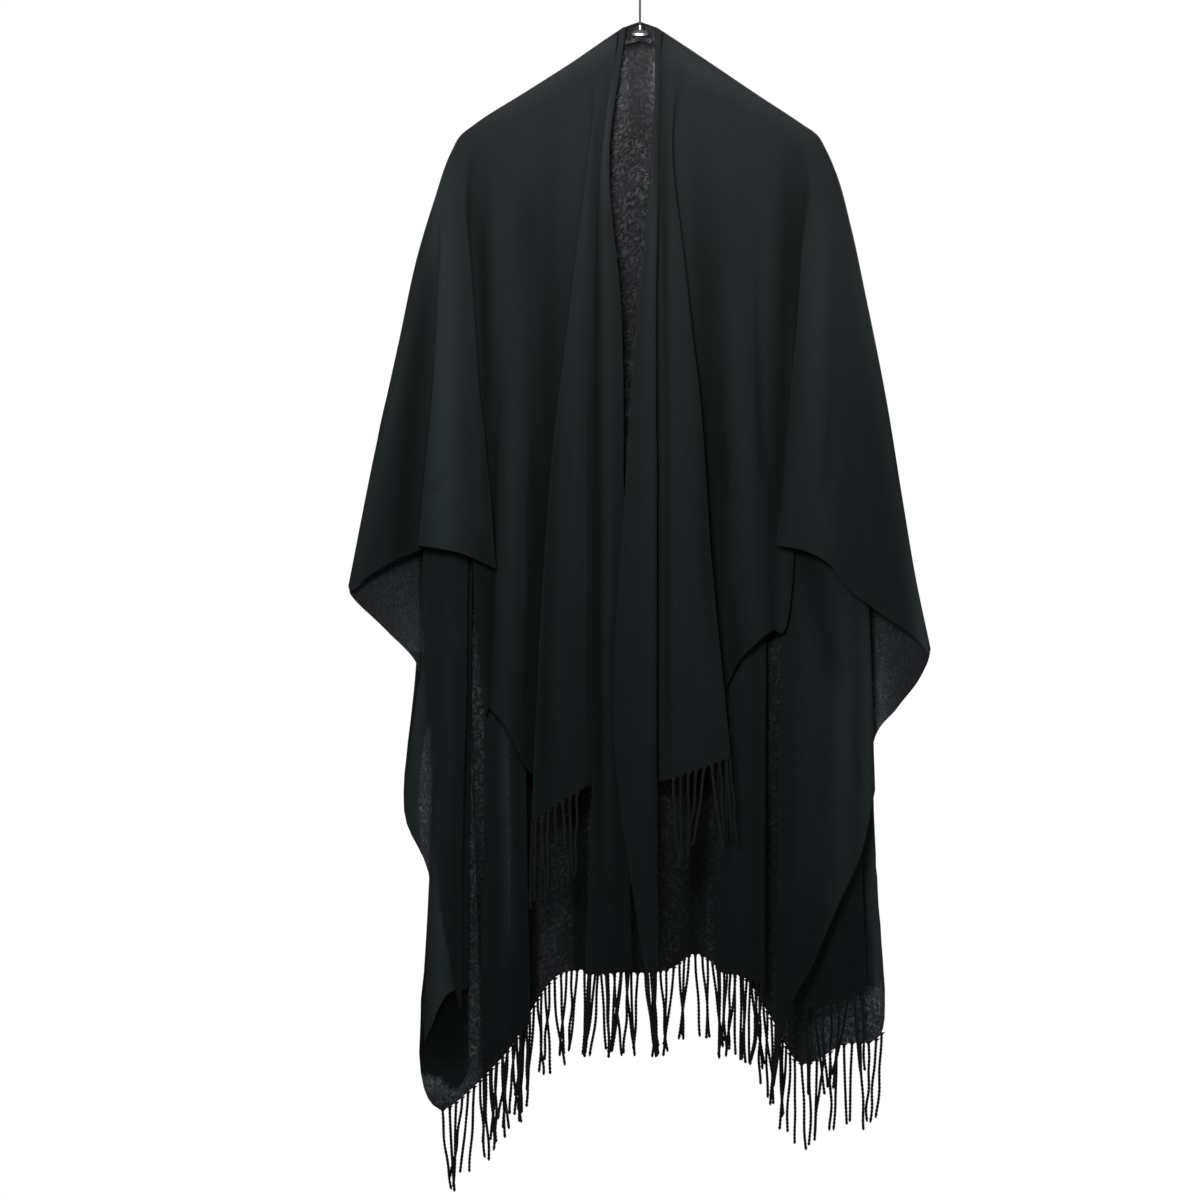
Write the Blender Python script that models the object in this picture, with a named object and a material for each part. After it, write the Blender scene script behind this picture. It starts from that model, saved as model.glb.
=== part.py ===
"""Fringed wool poncho hanging on a slim hanger, in metres, +Z up.

The poncho is one wide rectangle of double-faced cloth, slit up the middle of the
front and knotted into a fringe at both ends.  It hangs over the hanger's arms, so
each stretch of it that shows is a wall of its own: the back, the two fronts, the
sleeves that their outer parts make, the folds beside the slit, and the folds that
fall inside the sleeves.  Every wall is a loft between fold lines that run from the
crest (where the cloth turns over the arm, or doubles beyond it) down to its edge.

+X is the viewer's right, -Y is the front.  The origin is where the hook rests on
its rail.  Tables are in centimetres: x sideways, drop down from the neck, and depth
out from the hanger's plane, towards the front on the fronts, to the rear on the back.
"""
import math
from collections import namedtuple

import bmesh
import bpy
from mathutils import Vector

# ---- driving dimensions (metres) ----------------------------------------------------
CM = 0.01
WALL = 0.0020              # cloth thickness
SEAM = 0.0003              # gap between neighbouring pieces
NECK_Z = -0.076            # top of the cloth below the rail
ARM_RADIUS = 0.0030
ARM_SLOPE = 0.6620         # drop of an arm for each unit sideways
ARM_DROP = 0.0040          # the straight arm line's drop below the neck, run to the middle
ARM_CROWN = 0.0145         # rounding where the two arms meet
ARM_REACH = 0.183          # hanger centre to arm end, sideways
OUTER_BEND = 0.0096        # mid-cloth radius of the outer layer over the arm
INNER_BEND = 0.0060        # the same for a layer that lies inside it
TIP_BEND = 0.0042          # fold radius at the sleeve's tip
NECK_PUSH = 0.0185         # how far the back's neck edge stands behind the hook
NECK_HALF = 0.030          # half width of that neck edge

WIRE_RADIUS = 0.0012
HOOK_RADIUS = 0.0196       # wire centreline of the hook's bow
CAP_SIDES = 24
CAP_DEPTH = 0.45           # the cap's depth for each unit of its width
CapRow = namedtuple("CapRow", "height width")
CAP = (
    CapRow(0.0, 0.0230), CapRow(0.0021, 0.0230), CapRow(0.0024, 0.0205), CapRow(0.0060, 0.0130),
    CapRow(0.0063, 0.0056), CapRow(0.0112, 0.0054),
)

STRAND_PITCH = 0.0125      # one knotted strand from the next
STRAND_WIDTH = 0.0030
STRAND_LENGTH = 0.094
STRIP_HEIGHT = 0.0030      # backing strip that carries the strands
STRAND_TIP = 0.55          # width left at a strand's end

# ---- how finely the walls are cut -----------------------------------------------------
LEVELS = (0.06, 0.12, 0.20, 0.30, 0.42, 0.55, 0.70, 0.85, 1.0)
STATIONS = (0.0, 0.12, 0.30, 0.50, 0.75, 1.0)
BEND_STEPS = (0.0, 30.0, 60.0, 90.0)
STEPS_PER_FOLD = 2

# ---- the crest: where the cloth turns from front to back ------------------------------
Crest = namedtuple("Crest", "x drop")
CREST_LEFT = (
    Crest(0.0, -0.12), Crest(-1.4, 0.45), Crest(-3.2, 1.6), Crest(-7.2, 4.35),
    Crest(-12.6, 7.8), Crest(-18.4, 11.5), Crest(-19.9, 12.7), Crest(-20.9, 14.5),
    Crest(-22.8, 19.9), Crest(-24.5, 25.5), Crest(-26.8, 36.0), Crest(-29.4, 47.9),
    Crest(-32.3, 62.6),
)
CREST_RIGHT = (
    Crest(0.0, -0.12), Crest(1.4, 0.45), Crest(3.4, 1.7), Crest(7.4, 4.35),
    Crest(12.8, 8.0), Crest(18.1, 11.5), Crest(19.7, 12.65), Crest(20.6, 14.2),
    Crest(21.8, 17.0), Crest(23.3, 22.5), Crest(25.1, 30.9), Crest(27.3, 42.0),
    Crest(29.1, 53.1), Crest(30.6, 62.0), Crest(32.2, 69.6),
)

# ---- fold lines ----------------------------------------------------------------------
# along: distance along the crest from the neck; drop: how low the line ends;
# x1..x5 and d1..d5: sideways place and depth at 12, 30, 50, 75 and 100 % of the line.
Fold = namedtuple("Fold", "name along drop x1 x2 x3 x4 x5 d1 d2 d3 d4 d5")

FRONT_LEFT = (
    Fold("behind_roll", 2.9, 84.6, -3.5, -3.8, -4.0, -4.2, -4.7, 1.2, 1.3, 1.5, 2.0, 2.6),
    Fold("groove", 3.3, 84.8, -4.2, -4.9, -5.4, -5.5, -5.8, 1.6, 2.0, 2.3, 3.0, 3.6),
    Fold("flap_inner", 3.7, 85.2, -4.6, -5.6, -6.1, -6.2, -6.6, 2.2, 3.2, 4.2, 5.2, 5.8),
    Fold("flap_middle", 4.2, 86.6, -5.0, -6.4, -7.6, -8.4, -9.2, 2.7, 3.8, 5.0, 6.2, 6.8),
    Fold("flap_outer", 4.7, 88.0, -5.3, -7.0, -8.8, -10.1, -11.1, 2.6, 3.6, 4.8, 5.9, 6.4),
    Fold("flap_edge", 5.2, 88.7, -5.4, -7.3, -9.4, -10.9, -11.9, 2.2, 3.0, 4.0, 5.0, 5.4),
    Fold("under_flap", 5.7, 87.2, -5.1, -6.6, -8.4, -9.8, -10.6, 1.8, 2.4, 3.1, 3.8, 4.1),
    Fold("panel_start", 6.4, 85.2, -5.3, -6.4, -7.9, -9.0, -9.4, 1.3, 1.7, 2.1, 2.7, 2.9),
    Fold("panel_inner", 7.6, 82.9, -6.5, -8.6, -10.6, -12.2, -12.5, 1.2, 1.7, 2.2, 2.7, 2.8),
    Fold("panel_ridge", 10.5, 78.2, -9.2, -11.2, -13.0, -14.2, -14.9, 1.2, 2.0, 2.8, 3.6, 3.9),
    Fold("panel_valley", 14.0, 76.2, -12.4, -14.0, -15.2, -16.2, -16.6, 1.1, 1.3, 1.8, 2.3, 2.7),
    Fold("panel_outer", 17.5, 75.4, -15.6, -16.6, -17.3, -17.5, -17.4, 1.1, 1.4, 1.9, 2.4, 2.8),
    Fold("under_sleeve", 20.5, 58.6, -18.7, -19.2, -19.3, -18.9, -18.4, 1.1, 1.1, 1.3, 1.6, 1.9),
    Fold("sleeve_edge", 22.6, 60.7, -19.5, -18.8, -18.1, -17.0, -15.9, 1.6, 2.2, 3.0, 3.9, 4.4),
    Fold("sleeve_ridge", 25.5, 59.0, -20.7, -20.3, -20.1, -19.9, -19.9, 1.7, 2.6, 3.6, 4.7, 5.2),
    Fold("sleeve_crease", 29.5, 58.2, -22.0, -22.3, -22.7, -23.5, -24.3, 1.4, 2.1, 3.0, 4.0, 4.6),
    Fold("crease_under", 31.5, 58.4, -22.1, -22.1, -22.4, -23.1, -23.8, 0.9, 1.2, 1.6, 2.1, 2.5),
    Fold("cuff_face", 38.0, 59.8, -24.8, -25.0, -25.5, -26.4, -27.1, 1.0, 1.4, 1.9, 2.4, 2.7),
    Fold("cuff_outer", 52.0, 61.6, -28.3, -28.6, -28.9, -29.5, -30.1, 0.9, 1.2, 1.6, 2.0, 2.3),
    Fold("cuff_end", 64.8, 62.7, -30.4, -30.6, -30.8, -31.0, -31.2, 0.7, 0.8, 0.9, 1.1, 1.2),
    Fold("tip", 75.2, 63.3, -32.2, -32.2, -32.2, -32.2, -32.2, 0.45, 0.45, 0.5, 0.5, 0.5),
)

FRONT_RIGHT = (
    Fold("behind_roll", 2.9, 84.2, 1.4, 1.5, 1.6, 1.7, 2.0, 1.2, 1.3, 1.5, 2.0, 2.6),
    Fold("groove", 3.3, 84.2, 2.0, 2.2, 2.3, 2.3, 2.4, 1.6, 2.0, 2.3, 3.0, 3.6),
    Fold("flap_inner", 3.7, 83.9, 2.4, 2.7, 3.0, 3.1, 3.3, 2.2, 3.2, 4.3, 5.4, 6.0),
    Fold("flap_middle", 4.2, 82.8, 2.8, 3.6, 4.6, 5.4, 6.3, 2.7, 3.8, 5.2, 6.4, 7.1),
    Fold("flap_outer", 4.7, 81.8, 3.3, 4.4, 5.9, 7.3, 8.9, 2.6, 3.6, 5.0, 6.1, 6.8),
    Fold("flap_edge", 5.2, 81.4, 3.5, 4.8, 6.5, 8.0, 9.8, 2.2, 3.0, 4.2, 5.2, 5.8),
    Fold("under_flap", 5.7, 80.6, 3.2, 4.1, 5.5, 6.8, 8.4, 1.8, 2.4, 3.2, 3.9, 4.3),
    Fold("panel_start", 6.4, 79.0, 3.5, 4.1, 5.3, 6.3, 7.6, 1.3, 1.7, 2.2, 2.7, 3.0),
    Fold("panel_inner", 7.6, 71.8, 4.9, 6.0, 7.5, 8.9, 10.5, 1.2, 1.7, 2.2, 2.7, 2.8),
    Fold("panel_ridge", 10.5, 69.0, 7.8, 8.8, 10.4, 11.8, 12.8, 1.2, 2.0, 2.7, 3.3, 3.5),
    Fold("panel_valley", 14.0, 67.6, 11.4, 12.2, 13.0, 14.0, 14.6, 1.1, 1.3, 1.7, 2.1, 2.4),
    Fold("panel_outer", 17.5, 67.0, 14.8, 15.3, 15.8, 16.0, 16.2, 1.1, 1.4, 1.9, 2.2, 2.5),
    Fold("under_sleeve", 20.0, 57.4, 18.0, 17.8, 17.6, 17.3, 16.9, 1.1, 1.1, 1.3, 1.6, 1.9),
    Fold("sleeve_edge", 22.2, 58.1, 19.3, 18.3, 17.4, 16.2, 15.0, 1.6, 2.2, 3.0, 3.9, 4.4),
    Fold("sleeve_ridge", 25.5, 58.7, 20.8, 20.2, 19.5, 18.7, 17.9, 1.7, 2.6, 3.6, 4.6, 5.2),
    Fold("sleeve_crease", 30.5, 60.2, 22.6, 22.3, 21.9, 21.4, 20.8, 1.4, 2.0, 2.8, 3.6, 4.2),
    Fold("cuff_face", 38.0, 63.2, 24.4, 24.2, 24.0, 23.6, 23.2, 1.1, 1.6, 2.3, 3.0, 3.4),
    Fold("cuff_outer", 54.0, 67.0, 27.4, 27.6, 27.9, 28.2, 28.6, 0.9, 1.2, 1.6, 2.0, 2.3),
    Fold("cuff_end", 68.9, 68.7, 29.7, 29.9, 30.2, 30.5, 30.8, 0.7, 0.8, 0.9, 1.1, 1.2),
    Fold("tip", 81.9, 70.3, 32.1, 32.1, 32.1, 32.1, 32.1, 0.45, 0.45, 0.5, 0.5, 0.5),
)

# The plain folds on either side of the slit, from the slit's edge outwards.
ROLL_LEFT = (
    Fold("slit_edge", 1.85, 105.0, -3.4, -2.1, -1.8, -1.6, -0.9, 1.9, 2.4, 3.0, 3.4, 2.8),
    Fold("middle", 2.1, 105.4, -3.6, -3.2, -3.2, -3.3, -3.0, 2.5, 3.2, 3.9, 4.2, 3.8),
    Fold("outer", 2.35, 105.5, -4.0, -4.4, -4.8, -5.0, -5.9, 2.8, 2.9, 3.3, 3.8, 4.0),
    Fold("tuck", 2.6, 105.3, -4.1, -4.1, -4.3, -4.6, -5.4, 2.2, 2.2, 2.6, 3.2, 3.2),
)

ROLL_RIGHT = (
    Fold("slit_edge", 1.85, 104.6, 1.6, -0.3, -1.7, -2.9, 0.5, 1.9, 3.0, 4.1, 5.1, 4.0),
    Fold("middle", 2.1, 105.0, 1.7, 0.6, -0.3, -0.8, 1.1, 2.5, 3.8, 4.9, 6.0, 5.0),
    Fold("outer", 2.35, 105.2, 2.0, 1.7, 1.7, 1.7, 1.9, 2.8, 3.2, 3.9, 4.8, 4.6),
    Fold("tuck", 2.6, 105.0, 1.9, 1.2, 1.1, 1.1, 1.3, 2.2, 2.4, 2.9, 3.7, 3.7),
)

# Stretches that hang inside, between the fronts and the back.
MIDDLE_LEFT = (
    Fold("inner", 12.5, 111.2, -12.2, -12.6, -12.8, -12.6, -12.2, 0.5, 0.3, 0.2, 0.4, 0.6),
    Fold("ridge", 14.5, 112.9, -14.3, -14.6, -14.8, -14.7, -14.3, 0.6, 0.6, 0.8, 1.3, 1.9),
    Fold("valley", 16.5, 114.6, -16.2, -16.4, -16.5, -16.5, -16.3, 0.5, 0.4, 0.5, 0.8, 1.2),
    Fold("outer", 18.0, 115.4, -17.7, -17.8, -17.8, -17.9, -18.1, 0.5, 0.2, 0.0, -0.2, -0.3),
)

MIDDLE_RIGHT = (
    Fold("inner", 9.5, 105.2, 9.0, 8.9, 8.8, 8.6, 8.4, 0.5, 0.4, 0.4, 0.7, 1.0),
    Fold("ridge", 11.2, 105.7, 10.7, 10.8, 10.9, 11.0, 10.9, 0.6, 0.6, 0.9, 1.5, 2.1),
    Fold("valley", 12.8, 106.4, 12.4, 12.6, 12.7, 12.8, 12.7, 0.5, 0.5, 0.6, 1.0, 1.4),
    Fold("outer", 14.2, 107.0, 13.8, 13.9, 14.0, 13.9, 13.8, 0.5, 0.3, 0.2, 0.2, 0.3),
)

SIDE_LEFT = (
    Fold("inner", 18.9, 109.6, -18.4, -18.8, -19.1, -19.3, -19.2, 0.5, 0.4, 0.9, 2.2, 2.6),
    Fold("ridge", 19.7, 106.8, -19.0, -19.6, -20.0, -20.4, -20.2, 0.6, 0.4, 1.2, 3.1, 3.3),
    Fold("middle", 20.4, 100.4, -19.6, -20.4, -21.0, -21.6, -21.7, 0.6, 0.5, 1.1, 3.0, 3.2),
    Fold("outer", 21.0, 95.4, -20.1, -21.2, -22.2, -22.9, -23.0, 0.6, 0.4, 0.7, 2.0, 2.0),
    Fold("edge", 21.6, 86.0, -20.5, -22.0, -23.2, -24.0, -23.4, 0.5, 0.2, 0.3, 0.9, 0.8),
)

SIDE_RIGHT = (
    Fold("inner", 16.2, 118.0, 16.0, 15.8, 15.7, 15.3, 14.8, 0.5, 0.4, 0.7, 2.4, 3.0),
    Fold("ridge", 17.6, 110.0, 17.4, 17.5, 17.3, 16.9, 16.2, 0.6, 0.5, 0.9, 3.3, 4.0),
    Fold("middle", 18.7, 104.4, 18.5, 18.9, 19.1, 19.2, 19.1, 0.6, 0.5, 1.0, 3.6, 4.2),
    Fold("lower", 19.8, 97.6, 19.4, 20.4, 21.0, 21.6, 22.0, 0.6, 0.4, 0.8, 2.8, 3.4),
    Fold("outer", 20.7, 92.2, 20.2, 21.6, 22.7, 23.7, 24.4, 0.6, 0.3, 0.4, 1.4, 1.9),
    Fold("edge", 21.5, 85.3, 20.8, 22.6, 23.9, 25.0, 25.6, 0.5, 0.1, 0.0, 0.3, 0.5),
)

# Stretches that hang behind the side folds, from the rear of the arm.
UNDER_LEFT = (
    Fold("inner", -18.6, 107.4, -17.6, -18.2, -18.6, -19.0, -19.2, 0.5, 0.7, 0.9, 0.9, 0.8),
    Fold("middle", -19.9, 108.2, -19.2, -20.0, -20.7, -21.3, -21.6, 0.5, 0.7, 0.7, 0.4, 0.2),
    Fold("outer", -21.2, 113.4, -20.3, -21.4, -22.2, -23.1, -24.0, 0.5, 0.8, 1.0, 1.0, 0.8),
)

UNDER_RIGHT = (
    Fold("inner", 18.4, 109.6, 18.0, 18.3, 18.3, 18.1, 18.0, 0.5, 0.7, 0.8, 0.5, 0.3),
    Fold("middle", 19.6, 108.9, 19.3, 20.2, 20.8, 21.2, 21.5, 0.5, 0.7, 0.6, 0.0, -0.5),
    Fold("outer", 20.8, 107.6, 20.4, 21.9, 23.1, 24.2, 25.2, 0.5, 0.8, 1.0, 0.9, 0.6),
)

BACK = (
    Fold("tip_left", -75.2, 63.5, -32.2, -32.2, -32.2, -32.2, -32.2, 0.45, 0.45, 0.5, 0.5, 0.5),
    Fold("cuff_left_end", -64.8, 64.7, -30.4, -30.6, -30.8, -31.0, -31.2, 0.7, 0.8, 0.9, 1.0, 1.1),
    Fold("cuff_left", -50.0, 67.7, -27.7, -27.8, -27.9, -28.0, -28.1, 0.9, 1.2, 1.5, 1.7, 1.8),
    Fold("cuff_left_inner", -36.0, 71.5, -24.1, -24.2, -24.4, -24.6, -24.8, 1.1, 1.6, 2.0, 2.3, 2.4),
    Fold("cuff_left_fold", -33.0, 76.0, -23.3, -23.5, -23.8, -24.4, -25.1, 1.1, 1.7, 2.3, 2.6, 2.6),
    Fold("side_left_high", -30.0, 87.6, -22.5, -23.0, -23.4, -23.9, -26.3, 1.2, 1.9, 2.6, 3.0, 2.8),
    Fold("side_left", -27.0, 96.5, -21.8, -22.4, -22.8, -23.2, -23.3, 1.3, 2.2, 3.0, 3.4, 3.0),
    Fold("side_left_low", -24.8, 114.8, -21.0, -21.8, -22.2, -22.7, -24.6, 1.3, 2.0, 2.7, 3.2, 2.6),
    Fold("corner_left", -22.8, 120.9, -20.3, -20.9, -21.2, -21.8, -22.4, 1.3, 1.8, 2.3, 3.0, 2.4),
    Fold("left_a", -20.5, 117.8, -18.8, -19.0, -18.9, -18.4, -17.8, 1.6, 2.6, 3.6, 4.6, 4.8),
    Fold("left_b", -17.0, 113.8, -16.2, -16.0, -15.6, -14.9, -14.2, 1.3, 1.8, 2.4, 3.2, 3.6),
    Fold("left_c", -14.2, 109.9, -13.8, -13.6, -13.2, -12.6, -12.0, 1.8, 3.2, 4.6, 5.8, 6.2),
    Fold("left_d", -11.2, 106.2, -11.0, -10.8, -10.4, -9.8, -9.3, 1.4, 2.1, 2.8, 3.5, 3.8),
    Fold("left_e", -8.4, 105.6, -8.2, -7.9, -7.5, -6.9, -6.4, 1.9, 3.4, 4.8, 5.8, 6.4),
    Fold("left_f", -5.2, 105.4, -4.9, -4.7, -4.4, -4.0, -3.6, 2.0, 2.4, 3.0, 3.6, 4.0),
    Fold("center", 0.0, 106.0, 0.0, 0.0, 0.0, 0.0, 0.0, 3.0, 4.4, 5.8, 6.8, 7.2),
    Fold("right_f", 5.2, 105.4, 4.9, 4.5, 4.1, 3.7, 3.3, 2.0, 2.4, 3.0, 3.6, 4.0),
    Fold("right_e", 8.4, 103.8, 8.2, 7.8, 7.3, 6.8, 6.3, 1.9, 3.4, 4.8, 5.8, 6.4),
    Fold("right_d", 11.2, 105.6, 11.0, 10.7, 10.3, 9.7, 9.2, 1.4, 2.1, 2.8, 3.5, 3.8),
    Fold("right_c", 14.2, 106.7, 13.8, 13.5, 13.0, 12.4, 12.0, 1.8, 3.2, 4.6, 5.8, 6.2),
    Fold("right_b", 17.0, 111.0, 16.2, 16.0, 15.6, 15.2, 14.8, 1.3, 1.8, 2.4, 3.2, 3.6),
    Fold("right_a", 20.5, 116.0, 19.0, 19.2, 19.0, 18.6, 18.0, 1.6, 2.6, 3.6, 4.6, 4.8),
    Fold("corner_right_in", 22.8, 113.8, 20.4, 21.2, 21.8, 22.3, 22.6, 1.3, 1.8, 2.4, 3.0, 3.2),
    Fold("corner_right", 25.2, 112.0, 21.4, 22.6, 23.8, 25.2, 27.1, 1.3, 2.0, 2.6, 2.8, 2.4),
    Fold("side_right_low", 28.5, 100.0, 22.6, 23.6, 24.6, 25.6, 26.6, 1.2, 1.8, 2.4, 2.8, 2.6),
    Fold("side_right", 31.5, 89.0, 23.6, 24.4, 25.0, 25.5, 25.7, 1.2, 1.8, 2.4, 2.8, 2.8),
    Fold("side_right_high", 35.0, 80.0, 24.4, 25.0, 25.5, 25.9, 26.1, 1.1, 1.6, 2.1, 2.5, 2.6),
    Fold("cuff_right_inner", 46.0, 76.3, 26.5, 27.0, 27.6, 28.2, 28.6, 1.0, 1.4, 1.8, 2.1, 2.2),
    Fold("cuff_right", 60.0, 73.6, 28.6, 29.2, 29.8, 30.4, 30.7, 0.9, 1.2, 1.5, 1.7, 1.8),
    Fold("cuff_right_end", 72.8, 71.7, 30.6, 31.0, 31.3, 31.6, 31.7, 0.7, 0.8, 0.9, 1.0, 1.1),
    Fold("tip_right", 81.9, 70.5, 32.1, 32.1, 32.1, 32.1, 32.1, 0.45, 0.45, 0.5, 0.5, 0.5),
)

# A panel is one sheet of folds, parted into its stretches (each a node of its own).
# side: -1 front, +1 back; bend: radius over the arm; first_bend: first step of the turn;
# hem_from, hem_to: the fold lines between which the hem is fringed.
Stretch = namedtuple("Stretch", "node first last")
Panel = namedtuple("Panel", "stretches folds side bend first_bend fringe hem_from hem_to color")
PLAIN = (0.030, 0.034, 0.036, 1.0)
SPECKLED = (0.050, 0.054, 0.060, 1.0)
PANELS = (
    Panel((Stretch("back_sleeve_left", "tip_left", "cuff_left_fold"),
           Stretch("back_side_left", "cuff_left_fold", "left_b"),
           Stretch("back", "left_b", "right_b"),
           Stretch("back_side_right", "right_b", "side_right_high"),
           Stretch("back_sleeve_right", "side_right_high", "tip_right")),
          BACK, 1, OUTER_BEND, 0, "fringe_back", "corner_left", "corner_right", SPECKLED),
    Panel((Stretch("front_left", "behind_roll", "panel_outer"),
           Stretch("sleeve_left", "panel_outer", "tip")),
          FRONT_LEFT, -1, OUTER_BEND, 0, "fringe_front_left", "flap_inner", "under_flap", PLAIN),
    Panel((Stretch("front_right", "behind_roll", "panel_outer"),
           Stretch("sleeve_right", "panel_outer", "tip")),
          FRONT_RIGHT, -1, OUTER_BEND, 0, "fringe_front_right", "flap_inner", "under_flap", PLAIN),
    Panel((Stretch("slit_fold_left", "slit_edge", "tuck"),),
          ROLL_LEFT, -1, OUTER_BEND, 0, "fringe_slit_left", "slit_edge", "tuck", PLAIN),
    Panel((Stretch("slit_fold_right", "slit_edge", "tuck"),),
          ROLL_RIGHT, -1, OUTER_BEND, 0, "fringe_slit_right", "slit_edge", "tuck", PLAIN),
    Panel((Stretch("middle_fold_left", "inner", "outer"),),
          MIDDLE_LEFT, -1, INNER_BEND, 1, "fringe_middle_left", "inner", "outer", PLAIN),
    Panel((Stretch("middle_fold_right", "inner", "outer"),),
          MIDDLE_RIGHT, -1, INNER_BEND, 1, "fringe_middle_right", "inner", "outer", PLAIN),
    Panel((Stretch("side_fold_left", "inner", "edge"),),
          SIDE_LEFT, -1, INNER_BEND, 1, None, None, None, PLAIN),
    Panel((Stretch("side_fold_right", "inner", "edge"),),
          SIDE_RIGHT, -1, INNER_BEND, 1, None, None, None, PLAIN),
    Panel((Stretch("under_fold_left", "inner", "outer"),),
          UNDER_LEFT, 1, INNER_BEND, 1, None, None, None, PLAIN),
    Panel((Stretch("under_fold_right", "inner", "outer"),),
          UNDER_RIGHT, 1, INNER_BEND, 1, "fringe_under_right", "inner", "outer", PLAIN),
)


# ---- curves -----------------------------------------------------------------------------
def smooth_step(value):
    """0 below 0, 1 above 1, and a smooth rise between them."""
    value = min(max(value, 0.0), 1.0)
    return value * value * (3.0 - 2.0 * value)


def slopes_at(knots, values):
    """Slope of a smooth curve through the values, at each knot."""
    steps = [(values[i + 1] - values[i]) / (knots[i + 1] - knots[i]) for i in range(len(knots) - 1)]
    inner = []
    for i in range(1, len(knots) - 1):
        before = knots[i] - knots[i - 1]
        after = knots[i + 1] - knots[i]
        inner.append((steps[i - 1] * after + steps[i] * before) / (before + after))
    return [steps[0]] + inner + [steps[-1]]


def curve_at(knots, values, place):
    """Cubic curve through the values; it works for numbers and for vectors."""
    slopes = slopes_at(knots, values)
    i = 0
    while i < len(knots) - 2 and place > knots[i + 1]:
        i += 1
    span = knots[i + 1] - knots[i]
    t = (place - knots[i]) / span
    return (values[i] * (2 * t ** 3 - 3 * t ** 2 + 1)
            + slopes[i] * (span * (t ** 3 - 2 * t ** 2 + t))
            + values[i + 1] * (3 * t ** 2 - 2 * t ** 3)
            + slopes[i + 1] * (span * (t ** 3 - t ** 2)))


def crest_point(along):
    """Sideways place and drop of the crest, by the distance along it from the neck."""
    crest = CREST_LEFT if along < 0.0 else CREST_RIGHT
    knots = [0.0]
    for start, end in zip(crest, crest[1:]):
        knots.append(knots[-1] + math.hypot(end.x - start.x, end.drop - start.drop))
    place = abs(along)
    x = curve_at(knots, [point.x for point in crest], place)
    drop = curve_at(knots, [point.drop for point in crest], place)
    return x, drop


# ---- cloth ------------------------------------------------------------------------------
def bend_radius(along):
    """The outer cloth turns tighter towards the sleeve's tip, where no arm is inside it."""
    away = smooth_step((abs(along) * CM - 0.22) / 0.45)
    return OUTER_BEND + (TIP_BEND - OUTER_BEND) * away


def fold_line(panel, fold):
    """Points of one fold line, from the crest to the edge of the cloth."""
    along = math.copysign(fold.along, fold.x1) if panel.side < 0 else fold.along
    crest_x, crest_drop = crest_point(along)
    outer = bend_radius(along)
    radius = min(panel.bend, outer)
    behind = NECK_PUSH * (1.0 - smooth_step(abs(crest_x) * CM / NECK_HALF))
    start = panel.side * (SEAM / 2 + (behind if panel.side > 0 else 0.0))
    points = []
    for angle in BEND_STEPS[panel.first_bend:]:
        turn = math.radians(angle)
        out = start + panel.side * radius * math.sin(turn)
        drop = crest_drop * CM + outer - radius * math.cos(turn)
        points.append(Vector((crest_x * CM, out, NECK_Z - drop)))
    top = points[-1]
    places = [top.x] + [value * CM for value in fold[3:8]]
    depths = [top.y] + [panel.side * value * CM for value in fold[8:13]]
    end = NECK_Z - fold.drop * CM
    for level in LEVELS:
        x = curve_at(STATIONS, places, level)
        y = curve_at(STATIONS, depths, level)
        points.append(Vector((x, y, top.z + (end - top.z) * level)))
    return points


def cloth_grid(panel):
    """Mid-cloth points: one column for each fold line and for the places between them."""
    numbers = list(zip(*(fold[1:] for fold in panel.folds)))
    knots = list(range(len(panel.folds)))
    columns = []
    for step in range((len(knots) - 1) * STEPS_PER_FOLD + 1):
        place = step / STEPS_PER_FOLD
        between = Fold("between", *(curve_at(knots, values, place) for values in numbers))
        columns.append(fold_line(panel, between))
    return columns


def cloth_normals(panel, columns):
    """Unit normals of the mid-cloth grid; at the crest the cloth runs level, front to back."""
    wide = len(columns) - 1
    deep = len(columns[0]) - 1
    normals = []
    for i, column in enumerate(columns):
        line = []
        for j in range(deep + 1):
            across = columns[min(i + 1, wide)][j] - columns[max(i - 1, 0)][j]
            down = column[min(j + 1, deep)] - column[max(j - 1, 0)]
            if j == 0 and panel.first_bend == 0:
                down = Vector((0.0, panel.side, 0.0))
            line.append(across.cross(down).normalized())
        normals.append(line)
    return normals


def closed_mesh(name, points, faces):
    """Mesh of one closed body with its faces pointing out."""
    shape = bmesh.new()
    corners = [shape.verts.new(point) for point in points]
    for face in faces:
        shape.faces.new([corners[index] for index in face])
    bmesh.ops.recalc_face_normals(shape, faces=shape.faces)
    mesh = bpy.data.meshes.new(name)
    shape.to_mesh(mesh)
    shape.free()
    return mesh


def column_of(panel, name):
    """Number of the grid's column that lies on a named fold line."""
    return [fold.name for fold in panel.folds].index(name) * STEPS_PER_FOLD


def parted_column(columns, normals, i, side):
    """Column moved in the cloth by half a seam, square to itself, towards one neighbour."""
    column = columns[i]
    moved = []
    for j, point in enumerate(column):
        down = column[min(j + 1, len(column) - 1)] - column[max(j - 1, 0)]
        aside = down.cross(normals[i][j]).normalized()
        if aside.dot(columns[i + side][j] - point) < 0.0:
            aside.negate()
        moved.append(point + aside * (SEAM / 2))
    return moved


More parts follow.
